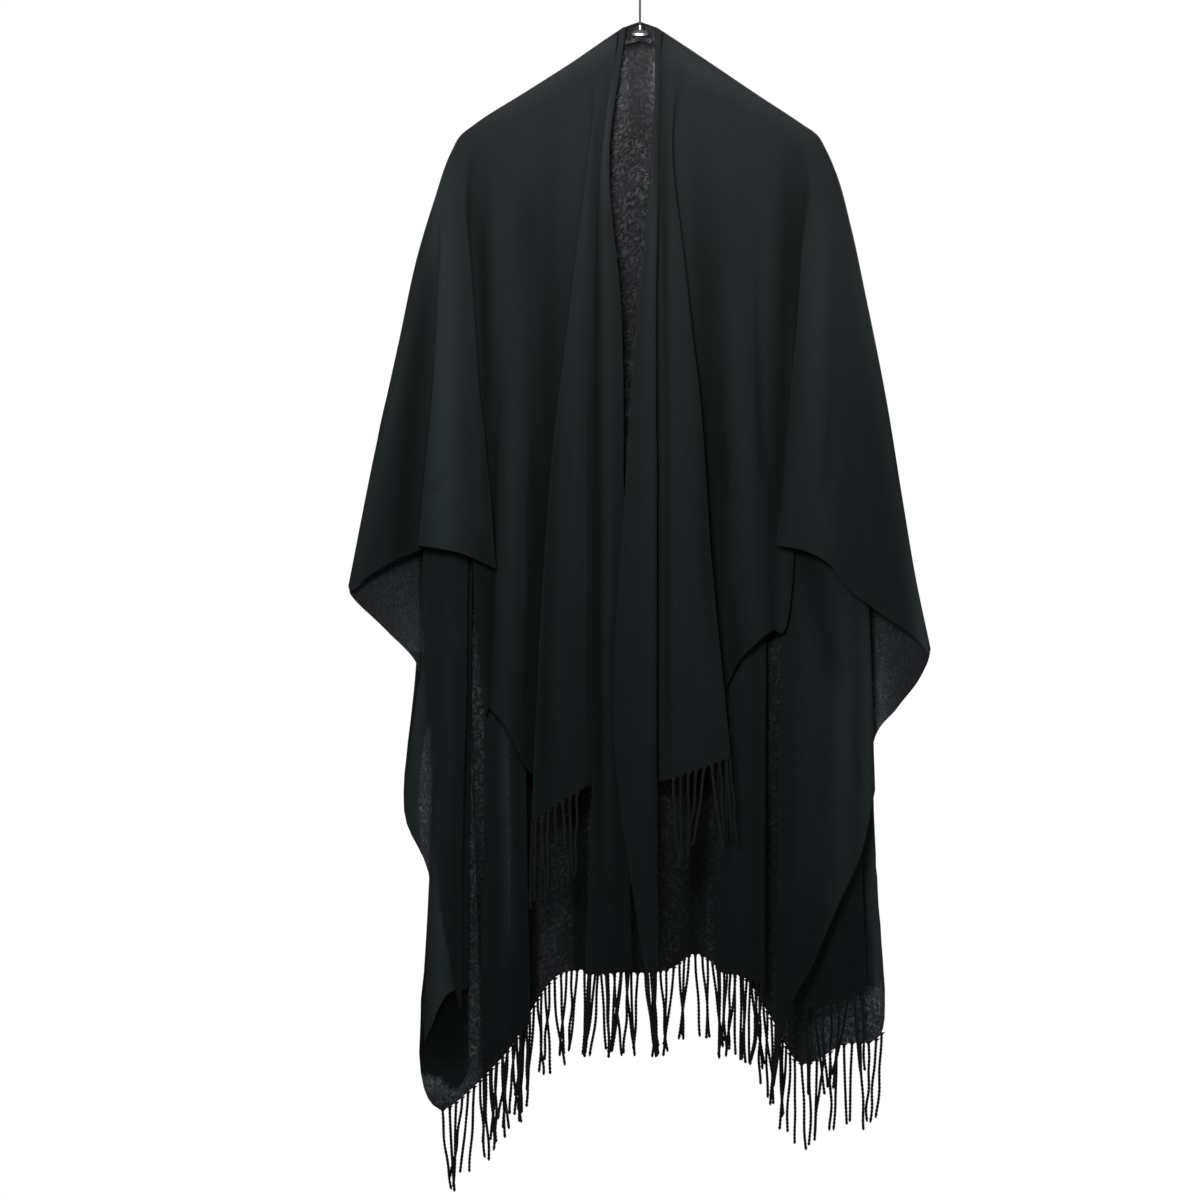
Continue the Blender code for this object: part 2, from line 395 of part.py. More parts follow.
def cloth_wall(panel, stretch, columns, normals):
    """Closed wall of cloth: the grid moved out and in by half a thickness, and its rim."""
    first = column_of(panel, stretch.first)
    end = column_of(panel, stretch.last)
    grid = columns[first:end + 1]
    if first > 0:
        grid[0] = parted_column(columns, normals, first, 1)
    if end < len(columns) - 1:
        grid[-1] = parted_column(columns, normals, end, -1)
    rows = len(columns[0])
    points = []
    for offset in (WALL / 2, -WALL / 2):
        for column, line in zip(grid, normals[first:end + 1]):
            points += [point + normal * offset for point, normal in zip(column, line)]
    other = len(grid) * rows
    last = len(grid) - 1
    faces = []
    for i in range(last):
        for j in range(rows - 1):
            quad = (i * rows + j, (i + 1) * rows + j, (i + 1) * rows + j + 1, i * rows + j + 1)
            faces.append(quad)
            faces.append(tuple(other + index for index in reversed(quad)))
        for j in (0, rows - 1):
            a, b = i * rows + j, (i + 1) * rows + j
            faces.append((a, b, other + b, other + a) if j else (b, a, other + a, other + b))
    for i in (0, last):
        for j in range(rows - 1):
            a, b = i * rows + j, i * rows + j + 1
            side = [(a, b, other + b), (a, other + b, other + a)]
            faces += side if i == 0 else [tuple(reversed(face)) for face in side]
    return closed_mesh(stretch.node, points, faces)


# ---- fringe -----------------------------------------------------------------------------
Section = namedtuple("Section", "point down out")


def hem_sections(panel, columns, normals):
    """Hem points between the panel's two named fold lines, and how far along each lies."""
    first = column_of(panel, panel.hem_from)
    last = column_of(panel, panel.hem_to)
    sections = []
    lengths = []
    for i in range(first, last + 1):
        point = columns[i][-1]
        down = (point - columns[i][-2]).normalized()
        lengths.append(lengths[-1] + (point - sections[-1].point).length if sections else 0.0)
        sections.append(Section(point, down, normals[i][-1]))
    return sections, lengths


def section_at(sections, lengths, place):
    """The hem at a distance along it, straight between its points as the wall is."""
    i = 0
    while i < len(lengths) - 2 and place > lengths[i + 1]:
        i += 1
    share = (place - lengths[i]) / (lengths[i + 1] - lengths[i])
    return Section(*(a.lerp(b, share) for a, b in zip(sections[i], sections[i + 1])))


def strip_corners(section):
    """Four corners of the backing strip: top outside, top inside, bottom inside, outside."""
    top = section.point + section.down * (2 * SEAM)
    bottom = top + section.down * STRIP_HEIGHT
    out = section.out * (WALL / 2)
    return [top + out, top - out, bottom - out, bottom + out]


def strand_rings(roots, number):
    """Square rings of one strand below its root, leaning a little from its neighbours."""
    centre = sum(roots, Vector()) / 4
    length = STRAND_LENGTH * (1.0 + 0.06 * math.sin(2.3 * number) + 0.03 * math.sin(5.1 * number))
    lean = Vector((0.0045 * math.sin(0.9 * number + 0.4), 0.0030 * math.sin(1.3 * number), 0.0))
    rings = []
    for share in (0.45, 1.0):
        middle = centre + lean * (share ** 1.5) - Vector((0.0, 0.0, length * share))
        width = 1.0 + (STRAND_TIP - 1.0) * share
        rings.append([middle + (root - centre) * width for root in roots])
    return rings


def fringe_mesh(panel, columns, normals):
    """Backing strip under the hem, with the strands grown from its underside."""
    sections, lengths = hem_sections(panel, columns, normals)
    count = max(int(lengths[-1] / STRAND_PITCH), 2)
    pitch = lengths[-1] / count
    places = []
    for number in range(count):
        middle = (number + 0.5) * pitch
        before = places[-1] if places else middle
        start = middle - STRAND_WIDTH / 2
        places += [place for place in lengths if before + SEAM < place < start - SEAM]
        places += [start, middle + STRAND_WIDTH / 2]
    strands = [number * pitch + pitch / 2 - STRAND_WIDTH / 2 for number in range(count)]
    points = []
    faces = [(0, 1, 2, 3)]
    for place in places:
        points += strip_corners(section_at(sections, lengths, place))
    number = 0
    for i in range(len(places) - 1):
        here, there = 4 * i, 4 * i + 4
        rooted = number < count and abs(places[i] - strands[number]) < SEAM / 100
        for a, b in ((0, 1), (1, 2), (3, 0)) if rooted else ((0, 1), (1, 2), (2, 3), (3, 0)):
            faces.append((here + a, here + b, there + b, there + a))
        if rooted:
            ring = [here + 3, here + 2, there + 2, there + 3]
            for corners in strand_rings([points[index] for index in ring], number):
                below = [len(points) + index for index in range(4)]
                points += corners
                faces += [(ring[a], ring[a - 1], below[a - 1], below[a]) for a in range(4)]
                ring = below
            faces.append(tuple(ring))
            number += 1
    last = 4 * len(places) - 4
    faces.append((last + 3, last + 2, last + 1, last))
    return closed_mesh(panel.fringe, points, faces)


# ---- hanger -----------------------------------------------------------------------------
def wire(name, path, radius, color, metallic, roughness):
    """Round bar along a path of points, with closed ends."""
    curve = bpy.data.curves.new(name, "CURVE")
    curve.dimensions = "3D"
    curve.bevel_depth = radius
    curve.bevel_resolution = 2
    curve.use_fill_caps = True
    spline = curve.splines.new("POLY")
    spline.points.add(len(path) - 1)
    for point, place in zip(spline.points, path):
        point.co = (*place, 1.0)
    return add_object(name, curve, color, metallic, roughness)


def arm_path():
    """The hanger's two arms in one bar, rounded where they meet."""
    steps = 10
    path = []
    for step in range(-steps, steps + 1):
        x = ARM_REACH * step / steps
        drop = ARM_DROP + math.hypot(ARM_CROWN, ARM_SLOPE * x)
        path.append((x, 0.0, NECK_Z - drop))
    return path


def hook_path(foot):
    """Straight shank, an easy bend sideways, and the bow over the rail."""
    centre = WIRE_RADIUS - HOOK_RADIUS
    join = math.radians(-42.0)
    end = math.radians(205.0)
    start = Vector((0.0, 0.0, centre - 1.75 * HOOK_RADIUS))
    meet = Vector((HOOK_RADIUS * math.cos(join), 0.0, centre + HOOK_RADIUS * math.sin(join)))
    reach = 0.7 * HOOK_RADIUS
    first = start + Vector((0.0, 0.0, reach))
    second = meet - Vector((-math.sin(join), 0.0, math.cos(join))) * reach
    path = [(0.0, 0.0, foot)]
    for step in range(7):
        t = step / 7
        path.append(start * (1 - t) ** 3 + first * (3 * t * (1 - t) ** 2)
                    + second * (3 * t * t * (1 - t)) + meet * t ** 3)
    for step in range(17):
        angle = join + (end - join) * step / 16
        path.append((HOOK_RADIUS * math.cos(angle), 0.0, centre + HOOK_RADIUS * math.sin(angle)))
    return path


def cap_mesh(foot):
    """Flat-sided metal cap: a base band, a shoulder that narrows, and a stem."""
    points = []
    for row in CAP:
        for number in range(CAP_SIDES):
            angle = math.tau * number / CAP_SIDES
            depth = max(row.width * CAP_DEPTH, CAP[-1].width)
            place = (row.width / 2 * math.cos(angle), depth / 2 * math.sin(angle), foot + row.height)
            points.append(Vector(place))
    faces = [tuple(range(CAP_SIDES)), tuple(range(len(points) - CAP_SIDES, len(points)))]
    for start in range(0, len(points) - CAP_SIDES, CAP_SIDES):
        for number in range(CAP_SIDES):
            a, b = start + number, start + (number + 1) % CAP_SIDES
            faces.append((a, b, b + CAP_SIDES, a + CAP_SIDES))
    return closed_mesh("hook_cap", points, faces)


def hanger():
    """Slim hanger: two arms in one bar, a cap on their crown, and the wire hook."""
    crown = NECK_Z - ARM_DROP - ARM_CROWN + ARM_RADIUS
    cap_foot = crown + SEAM
    wire("hanger_arms", arm_path(), ARM_RADIUS, (0.02, 0.02, 0.022, 1.0), 0.0, 0.45)
    add_object("hook_cap", cap_mesh(cap_foot), (0.75, 0.75, 0.76, 1.0), 1.0, 0.2)
    foot = cap_foot + CAP[-1].height + SEAM
    wire("hook", hook_path(foot), WIRE_RADIUS, (0.80, 0.80, 0.81, 1.0), 1.0, 0.15)


# ---- objects ----------------------------------------------------------------------------
def add_object(name, data, color, metallic, roughness):
    """Object with its own material, in the poncho's collection."""
    material = bpy.data.materials.new(name)
    material.use_nodes = True
    shader = material.node_tree.nodes["Principled BSDF"]
    shader.inputs["Base Color"].default_value = color
    shader.inputs["Metallic"].default_value = metallic
    shader.inputs["Roughness"].default_value = roughness
    data.materials.append(material)
    item = bpy.data.objects.new(name, data)
    bpy.data.collections["fringed_poncho"].objects.link(item)
    return item


def cloth():
    """Every stretch of the cloth, and the fringe under each knotted hem."""
    for panel in PANELS:
        columns = cloth_grid(panel)
        normals = cloth_normals(panel, columns)
        for stretch in panel.stretches:
            wall = cloth_wall(panel, stretch, columns, normals)
            add_object(stretch.node, wall, panel.color, 0.0, 0.95)
        if panel.fringe:
            fringe = fringe_mesh(panel, columns, normals)
            add_object(panel.fringe, fringe, PLAIN, 0.0, 0.95)


def main():
    for item in list(bpy.data.objects):
        bpy.data.objects.remove(item)
    collection = bpy.data.collections.new("fringed_poncho")
    bpy.context.scene.collection.children.link(collection)
    hanger()
    cloth()


main()
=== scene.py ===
"""Looks of a fringed wool poncho on a slim hanger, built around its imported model.

Every stretch of the cloth is a thin shell on the same fold lines as its solid, finer
and with its small creases: brushed plain wool outside, speckled looped wool inside.
The knotted fringe is twisted yarn, strand by strand, rooted in the hems.

Tables are in centimetres: x sideways, drop down from the neck, and depth out from the
hanger's plane, towards the front on the fronts, to the rear on the back.
"""
import math
import random
from collections import namedtuple

import bpy
import numpy as np
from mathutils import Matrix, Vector, noise


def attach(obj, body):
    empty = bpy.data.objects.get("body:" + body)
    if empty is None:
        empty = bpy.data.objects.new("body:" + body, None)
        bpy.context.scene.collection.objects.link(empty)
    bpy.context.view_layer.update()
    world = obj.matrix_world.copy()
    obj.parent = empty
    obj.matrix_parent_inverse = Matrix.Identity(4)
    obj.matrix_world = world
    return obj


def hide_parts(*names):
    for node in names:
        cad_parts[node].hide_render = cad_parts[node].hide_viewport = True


# ---- sizes, in metres, as in the solids ----
CM = 0.01
MM = 0.001
WALL = 0.0020              # cloth thickness
NECK_Z = -0.076            # top of the cloth below the rail
OUTER_BEND = 0.0096        # mid-cloth radius of the outer layer over the arm
INNER_BEND = 0.0060        # the same for a layer that lies inside it
INNER_TURN = 30.0          # degrees round the arm where such a layer starts
TIP_BEND = 0.0042          # fold radius at the sleeve's tip
TIP_FROM = 0.22            # distance along the crest where the bend starts to close to that
TIP_SPAN = 0.45            # and over how far it does
NECK_PUSH = 0.0185         # how far the back's neck edge stands behind the hook
NECK_HALF = 0.030          # half width of that neck edge
STATIONS = np.array([0.0, 0.12, 0.30, 0.50, 0.75, 1.0])

# ---- how fine the shells are ----
COLUMN_STEP = 0.0055       # widest step across a shell
ROW_STEP = 0.0078          # step down a shell
BEND_ROWS = 8              # rows round the bend over the arm
FOLD_COLUMNS = 4           # fewest steps from one fold line to the next
EDGE_ROUND = 0.0007        # how far a cloth edge's rim bulges
TURN_SOFTNESS = 0.7        # centimetres over which one face gives way to the other
RELIEF_REACHES = ((0.014, 0.35), (0.035, 0.75))  # distances it is read over, and weights
BROAD_WAVE = (0.045, 0.17)  # width and height of the cloth's broad uneven waves
FINE_WAVE = (0.017, 0.055)  # and of its fine ones
SIDE_STRETCH = 0.55        # how far depth counts in the distance across the cloth

# ---- the crest, as (x, drop): where the cloth turns from front to back ----
CREST_LEFT = (
    (0, -0.12), (-1.4, 0.45), (-3.2, 1.6), (-7.2, 4.35), (-12.6, 7.8), (-18.4, 11.5), (-19.9, 12.7),
    (-20.9, 14.5), (-22.8, 19.9), (-24.5, 25.5), (-26.8, 36), (-29.4, 47.9), (-32.3, 62.6),
)
CREST_RIGHT = (
    (0, -0.12), (1.4, 0.45), (3.4, 1.7), (7.4, 4.35), (12.8, 8), (18.1, 11.5), (19.7, 12.65),
    (20.6, 14.2), (21.8, 17), (23.3, 22.5), (25.1, 30.9), (27.3, 42), (29.1, 53.1), (30.6, 62),
    (32.2, 69.6),
)

# ---- fold lines ----
# along: distance along the crest from the neck; drop: how low the line ends;
# x1..x5 and d1..d5: sideways place and depth at 12, 30, 50, 75 and 100 % of the line.
Fold = namedtuple("Fold", "name along drop x1 x2 x3 x4 x5 d1 d2 d3 d4 d5")


def folds(**lines):
    """Fold lines of a stretch, from one side to the other."""
    return tuple(Fold(name, *numbers) for name, numbers in lines.items())


FRONT_LEFT = folds(
    behind_roll=(2.9, 84.6, -3.5, -3.8, -4, -4.2, -4.7, 1.2, 1.3, 1.5, 2, 2.6),
    groove=(3.3, 84.8, -4.2, -4.9, -5.4, -5.5, -5.8, 1.6, 2, 2.3, 3, 3.6),
    flap_inner=(3.7, 85.2, -4.6, -5.6, -6.1, -6.2, -6.6, 2.2, 3.2, 4.2, 5.2, 5.8),
    flap_middle=(4.2, 86.6, -5, -6.4, -7.6, -8.4, -9.2, 2.7, 3.8, 5, 6.2, 6.8),
    flap_outer=(4.7, 88, -5.3, -7, -8.8, -10.1, -11.1, 2.6, 3.6, 4.8, 5.9, 6.4),
    flap_edge=(5.2, 88.7, -5.4, -7.3, -9.4, -10.9, -11.9, 2.2, 3, 4, 5, 5.4),
    under_flap=(5.7, 87.2, -5.1, -6.6, -8.4, -9.8, -10.6, 1.8, 2.4, 3.1, 3.8, 4.1),
    panel_start=(6.4, 85.2, -5.3, -6.4, -7.9, -9, -9.4, 1.3, 1.7, 2.1, 2.7, 2.9),
    panel_inner=(7.6, 82.9, -6.5, -8.6, -10.6, -12.2, -12.5, 1.2, 1.7, 2.2, 2.7, 2.8),
    panel_ridge=(10.5, 78.2, -9.2, -11.2, -13, -14.2, -14.9, 1.2, 2, 2.8, 3.6, 3.9),
    panel_valley=(14, 76.2, -12.4, -14, -15.2, -16.2, -16.6, 1.1, 1.3, 1.8, 2.3, 2.7),
    panel_outer=(17.5, 75.4, -15.6, -16.6, -17.3, -17.5, -17.4, 1.1, 1.4, 1.9, 2.4, 2.8),
    under_sleeve=(20.5, 58.6, -18.7, -19.2, -19.3, -18.9, -18.4, 1.1, 1.1, 1.3, 1.6, 1.9),
    sleeve_edge=(22.6, 60.7, -19.5, -18.8, -18.1, -17, -15.9, 1.6, 2.2, 3, 3.9, 4.4),
    sleeve_ridge=(25.5, 59, -20.7, -20.3, -20.1, -19.9, -19.9, 1.7, 2.6, 3.6, 4.7, 5.2),
    sleeve_crease=(29.5, 58.2, -22, -22.3, -22.7, -23.5, -24.3, 1.4, 2.1, 3, 4, 4.6),
    crease_under=(31.5, 58.4, -22.1, -22.1, -22.4, -23.1, -23.8, 0.9, 1.2, 1.6, 2.1, 2.5),
    cuff_face=(38, 59.8, -24.8, -25, -25.5, -26.4, -27.1, 1, 1.4, 1.9, 2.4, 2.7),
    cuff_outer=(52, 61.6, -28.3, -28.6, -28.9, -29.5, -30.1, 0.9, 1.2, 1.6, 2, 2.3),
    cuff_end=(64.8, 62.7, -30.4, -30.6, -30.8, -31, -31.2, 0.7, 0.8, 0.9, 1.1, 1.2),
    tip=(75.2, 63.3, -32.2, -32.2, -32.2, -32.2, -32.2, 0.45, 0.45, 0.5, 0.5, 0.5),
)

FRONT_RIGHT = folds(
    behind_roll=(2.9, 84.2, 1.4, 1.5, 1.6, 1.7, 2, 1.2, 1.3, 1.5, 2, 2.6),
    groove=(3.3, 84.2, 2, 2.2, 2.3, 2.3, 2.4, 1.6, 2, 2.3, 3, 3.6),
    flap_inner=(3.7, 83.9, 2.4, 2.7, 3, 3.1, 3.3, 2.2, 3.2, 4.3, 5.4, 6),
    flap_middle=(4.2, 82.8, 2.8, 3.6, 4.6, 5.4, 6.3, 2.7, 3.8, 5.2, 6.4, 7.1),
    flap_outer=(4.7, 81.8, 3.3, 4.4, 5.9, 7.3, 8.9, 2.6, 3.6, 5, 6.1, 6.8),
    flap_edge=(5.2, 81.4, 3.5, 4.8, 6.5, 8, 9.8, 2.2, 3, 4.2, 5.2, 5.8),
    under_flap=(5.7, 80.6, 3.2, 4.1, 5.5, 6.8, 8.4, 1.8, 2.4, 3.2, 3.9, 4.3),
    panel_start=(6.4, 79, 3.5, 4.1, 5.3, 6.3, 7.6, 1.3, 1.7, 2.2, 2.7, 3),
    panel_inner=(7.6, 71.8, 4.9, 6, 7.5, 8.9, 10.5, 1.2, 1.7, 2.2, 2.7, 2.8),
    panel_ridge=(10.5, 69, 7.8, 8.8, 10.4, 11.8, 12.8, 1.2, 2, 2.7, 3.3, 3.5),
    panel_valley=(14, 67.6, 11.4, 12.2, 13, 14, 14.6, 1.1, 1.3, 1.7, 2.1, 2.4),
    panel_outer=(17.5, 67, 14.8, 15.3, 15.8, 16, 16.2, 1.1, 1.4, 1.9, 2.2, 2.5),
    under_sleeve=(20, 57.4, 18, 17.8, 17.6, 17.3, 16.9, 1.1, 1.1, 1.3, 1.6, 1.9),
    sleeve_edge=(22.2, 58.1, 19.3, 18.3, 17.4, 16.2, 15, 1.6, 2.2, 3, 3.9, 4.4),
    sleeve_ridge=(25.5, 58.7, 20.8, 20.2, 19.5, 18.7, 17.9, 1.7, 2.6, 3.6, 4.6, 5.2),
    sleeve_crease=(30.5, 60.2, 22.6, 22.3, 21.9, 21.4, 20.8, 1.4, 2, 2.8, 3.6, 4.2),
    cuff_face=(38, 63.2, 24.4, 24.2, 24, 23.6, 23.2, 1.1, 1.6, 2.3, 3, 3.4),
    cuff_outer=(54, 67, 27.4, 27.6, 27.9, 28.2, 28.6, 0.9, 1.2, 1.6, 2, 2.3),
    cuff_end=(68.9, 68.7, 29.7, 29.9, 30.2, 30.5, 30.8, 0.7, 0.8, 0.9, 1.1, 1.2),
    tip=(81.9, 70.3, 32.1, 32.1, 32.1, 32.1, 32.1, 0.45, 0.45, 0.5, 0.5, 0.5),
)

# The plain folds on either side of the slit, from the slit's edge outwards.
ROLL_LEFT = folds(
    slit_edge=(1.85, 105, -3.4, -2.1, -1.8, -1.6, -0.9, 1.9, 2.4, 3, 3.4, 2.8),
    middle=(2.1, 105.4, -3.6, -3.2, -3.2, -3.3, -3, 2.5, 3.2, 3.9, 4.2, 3.8),
    outer=(2.35, 105.5, -4, -4.4, -4.8, -5, -5.9, 2.8, 2.9, 3.3, 3.8, 4),
    tuck=(2.6, 105.3, -4.1, -4.1, -4.3, -4.6, -5.4, 2.2, 2.2, 2.6, 3.2, 3.2),
)

ROLL_RIGHT = folds(
    slit_edge=(1.85, 104.6, 1.6, -0.3, -1.7, -2.9, 0.5, 1.9, 3, 4.1, 5.1, 4),
    middle=(2.1, 105, 1.7, 0.6, -0.3, -0.8, 1.1, 2.5, 3.8, 4.9, 6, 5),
    outer=(2.35, 105.2, 2, 1.7, 1.7, 1.7, 1.9, 2.8, 3.2, 3.9, 4.8, 4.6),
    tuck=(2.6, 105, 1.9, 1.2, 1.1, 1.1, 1.3, 2.2, 2.4, 2.9, 3.7, 3.7),
)

# Stretches that hang inside, between the fronts and the back.
MIDDLE_LEFT = folds(
    inner=(12.5, 111.2, -12.2, -12.6, -12.8, -12.6, -12.2, 0.5, 0.3, 0.2, 0.4, 0.6),
    ridge=(14.5, 112.9, -14.3, -14.6, -14.8, -14.7, -14.3, 0.6, 0.6, 0.8, 1.3, 1.9),
    valley=(16.5, 114.6, -16.2, -16.3, -16.3, -16.2, -16.1, 0.5, 0.4, 0.6, 1.2, 1.6),
    outer=(17.8, 115.4, -17.5, -17.4, -17.2, -17.3, -17.7, 0.5, 0.3, 0.3, 0.4, 0.4),
)

MIDDLE_RIGHT = folds(
    inner=(9.5, 105.2, 9, 8.9, 8.8, 8.6, 8.4, 0.5, 0.4, 0.4, 0.7, 1),
    ridge=(11.2, 105.7, 10.7, 10.8, 10.9, 11, 10.9, 0.6, 0.6, 0.9, 1.5, 2.1),
    valley=(12.8, 106.4, 12.4, 12.6, 12.7, 12.8, 12.7, 0.5, 0.5, 0.6, 1, 1.4),
    outer=(14.2, 107, 13.8, 13.9, 14, 13.9, 13.8, 0.5, 0.3, 0.2, 0.2, 0.3),
)

SIDE_LEFT = folds(
    inner=(18.9, 109.6, -18.4, -18.8, -19.1, -19.5, -19.8, 0.5, 0.4, 0.9, 2.2, 2.6),
    ridge=(19.7, 106.8, -19, -19.6, -20, -20.5, -20.5, 0.6, 0.4, 1.2, 3.1, 3.3),
    middle=(20.4, 100.4, -19.6, -20.4, -21, -21.6, -21.7, 0.6, 0.5, 1.1, 3, 3.2),
    outer=(21, 95.4, -20.1, -21.2, -22.2, -22.7, -22.3, 0.6, 0.4, 0.7, 2, 2.2),
    edge=(21.6, 79.5, -20.5, -22, -23.2, -24.1, -22.9, 0.5, 0.2, 0.3, 0.9, 1.3),
)

SIDE_RIGHT = folds(
    inner=(16.2, 118, 16, 15.8, 15.7, 15.3, 14.8, 0.5, 0.4, 0.7, 2.4, 3),
    ridge=(17.6, 110, 17.4, 17.5, 17.3, 16.9, 16.2, 0.6, 0.5, 0.9, 3.3, 4),
    middle=(18.7, 104.4, 18.5, 18.9, 19.1, 19.2, 19.1, 0.6, 0.5, 1, 3.6, 4.2),
    lower=(19.8, 97.6, 19.4, 20.4, 21, 21.6, 22, 0.6, 0.4, 0.8, 2.8, 3.4),
    outer=(20.7, 92.2, 20.2, 21.6, 22.8, 23.9, 24.5, 0.6, 0.3, 0.4, 1.4, 1.9),
    edge=(21.5, 85.3, 20.8, 22.8, 24.2, 25.5, 26, 0.5, 0.1, 0, 0.3, 0.5),
)

# Stretches that hang behind the side folds, from the rear of the arm.
UNDER_LEFT = folds(
    inner=(-18.6, 107.4, -17.6, -18.2, -18.6, -19, -19.2, 0.5, 0.7, 0.9, 0.9, 0.8),
    middle=(-19.9, 108.2, -19.2, -20, -20.7, -21.3, -21.6, 0.5, 0.7, 0.7, 0.4, 0.2),
    outer=(-21.2, 113.4, -20.3, -21.4, -22.2, -23.1, -24, 0.5, 0.8, 1, 1, 0.8),
)

UNDER_RIGHT = folds(
    inner=(18.4, 109.6, 18, 18.3, 18.3, 18.1, 18, 0.5, 0.7, 0.8, 0.5, 0.3),
    middle=(19.6, 108.9, 19.3, 20.2, 20.8, 21.2, 21.5, 0.5, 0.7, 0.6, 0, -0.5),
    outer=(20.8, 107.6, 20.4, 21.9, 23.1, 24.2, 25.2, 0.5, 0.8, 1, 0.9, 0.6),
)

BACK = folds(
    tip_left=(-75.2, 63.5, -32.2, -32.2, -32.2, -32.2, -32.2, 0.45, 0.45, 0.5, 0.5, 0.5),
    cuff_left_end=(-64.8, 64.7, -30.4, -30.6, -30.8, -31, -31.2, 0.7, 0.8, 0.9, 1, 1.1),
    cuff_left=(-50, 67.7, -27.7, -27.8, -27.9, -28, -28.1, 0.9, 1.2, 1.5, 1.7, 1.8),
    cuff_left_inner=(-36, 71.5, -24.1, -24.2, -24.4, -24.6, -24.8, 1.1, 1.6, 2, 2.3, 2.4),
    cuff_left_fold=(-33, 76, -23.3, -23.5, -23.8, -24.4, -25.1, 1.1, 1.7, 2.3, 2.6, 2.6),
    side_left_high=(-30, 87.6, -22.5, -23, -23.4, -23.9, -26.3, 1.2, 1.9, 2.6, 3, 2.8),
    side_left=(-27, 96.5, -21.8, -22.4, -22.8, -23.2, -23.3, 1.3, 2.2, 3, 3.4, 3),
    side_left_low=(-24.8, 114.8, -21, -21.8, -22.2, -22.7, -24.6, 1.3, 2, 2.7, 3.2, 2.6),
    corner_left=(-22.8, 120.9, -20.3, -20.9, -21.2, -21.8, -22.4, 1.3, 1.8, 2.3, 3, 2.4),
    left_a=(-20.5, 117.8, -18.8, -19, -18.9, -18.4, -17.8, 1.6, 2.6, 3.6, 4.6, 4.8),
    left_b=(-17, 113.8, -16.2, -16, -15.6, -14.9, -14.2, 1.3, 1.8, 2.4, 3.2, 3.6),
    left_c=(-14.2, 109.9, -13.8, -13.6, -13.2, -12.6, -12, 1.8, 3.2, 4.6, 5.8, 6.2),
    left_d=(-11.2, 106.2, -11, -10.8, -10.4, -9.8, -9.3, 1.4, 2.1, 2.8, 3.5, 3.8),
    left_e=(-8.4, 105.6, -8.2, -7.9, -7.5, -6.9, -6.4, 1.9, 3.4, 4.8, 5.8, 6.4),
    left_f=(-5.2, 105.4, -4.9, -4.7, -4.4, -4, -3.6, 2, 2.4, 3, 3.6, 4),
    center=(0, 106, 0, 0, 0, 0, 0, 3, 4.4, 5.8, 6.8, 7.2),
    right_f=(5.2, 105.4, 4.9, 4.5, 4.1, 3.7, 3.3, 2, 2.4, 3, 3.6, 4),
    right_e=(8.4, 103.8, 8.2, 7.8, 7.3, 6.8, 6.3, 1.9, 3.4, 4.8, 5.8, 6.4),
    right_d=(11.2, 105.6, 11, 10.7, 10.3, 9.7, 9.2, 1.4, 2.1, 2.8, 3.5, 3.8),
    right_c=(14.2, 106.7, 13.8, 13.5, 13, 12.4, 12, 1.8, 3.2, 4.6, 5.8, 6.2),
    right_b=(17, 111, 16.2, 16, 15.6, 15.2, 14.8, 1.3, 1.8, 2.4, 3.2, 3.6),
    right_a=(20.5, 116, 19, 19.2, 19, 18.6, 18, 1.6, 2.6, 3.6, 4.6, 4.8),
    corner_right_in=(22.8, 113.8, 20.4, 21.2, 21.8, 22.3, 22.6, 1.3, 1.8, 2.4, 3, 3.2),
    corner_right=(25.2, 112, 21.4, 22.6, 23.8, 25.2, 27.1, 1.3, 2, 2.6, 2.8, 2.4),
    side_right_low=(28.5, 100, 22.6, 23.6, 24.6, 25.6, 26.6, 1.2, 1.8, 2.4, 2.8, 2.6),
    side_right=(31.5, 89, 23.6, 24.4, 25, 25.5, 25.7, 1.2, 1.8, 2.4, 2.8, 2.8),
    side_right_high=(35, 80, 24.4, 25, 25.5, 25.9, 26.1, 1.1, 1.6, 2.1, 2.5, 2.6),
    cuff_right_inner=(46, 76.3, 26.5, 27, 27.6, 28.2, 28.6, 1, 1.4, 1.8, 2.1, 2.2),
    cuff_right=(60, 73.6, 28.6, 29.2, 29.8, 30.4, 30.7, 0.9, 1.2, 1.5, 1.7, 1.8),
    cuff_right_end=(72.8, 71.7, 30.6, 31, 31.3, 31.6, 31.7, 0.7, 0.8, 0.9, 1, 1.1),
    tip_right=(81.9, 70.5, 32.1, 32.1, 32.1, 32.1, 32.1, 0.45, 0.45, 0.5, 0.5, 0.5),
)

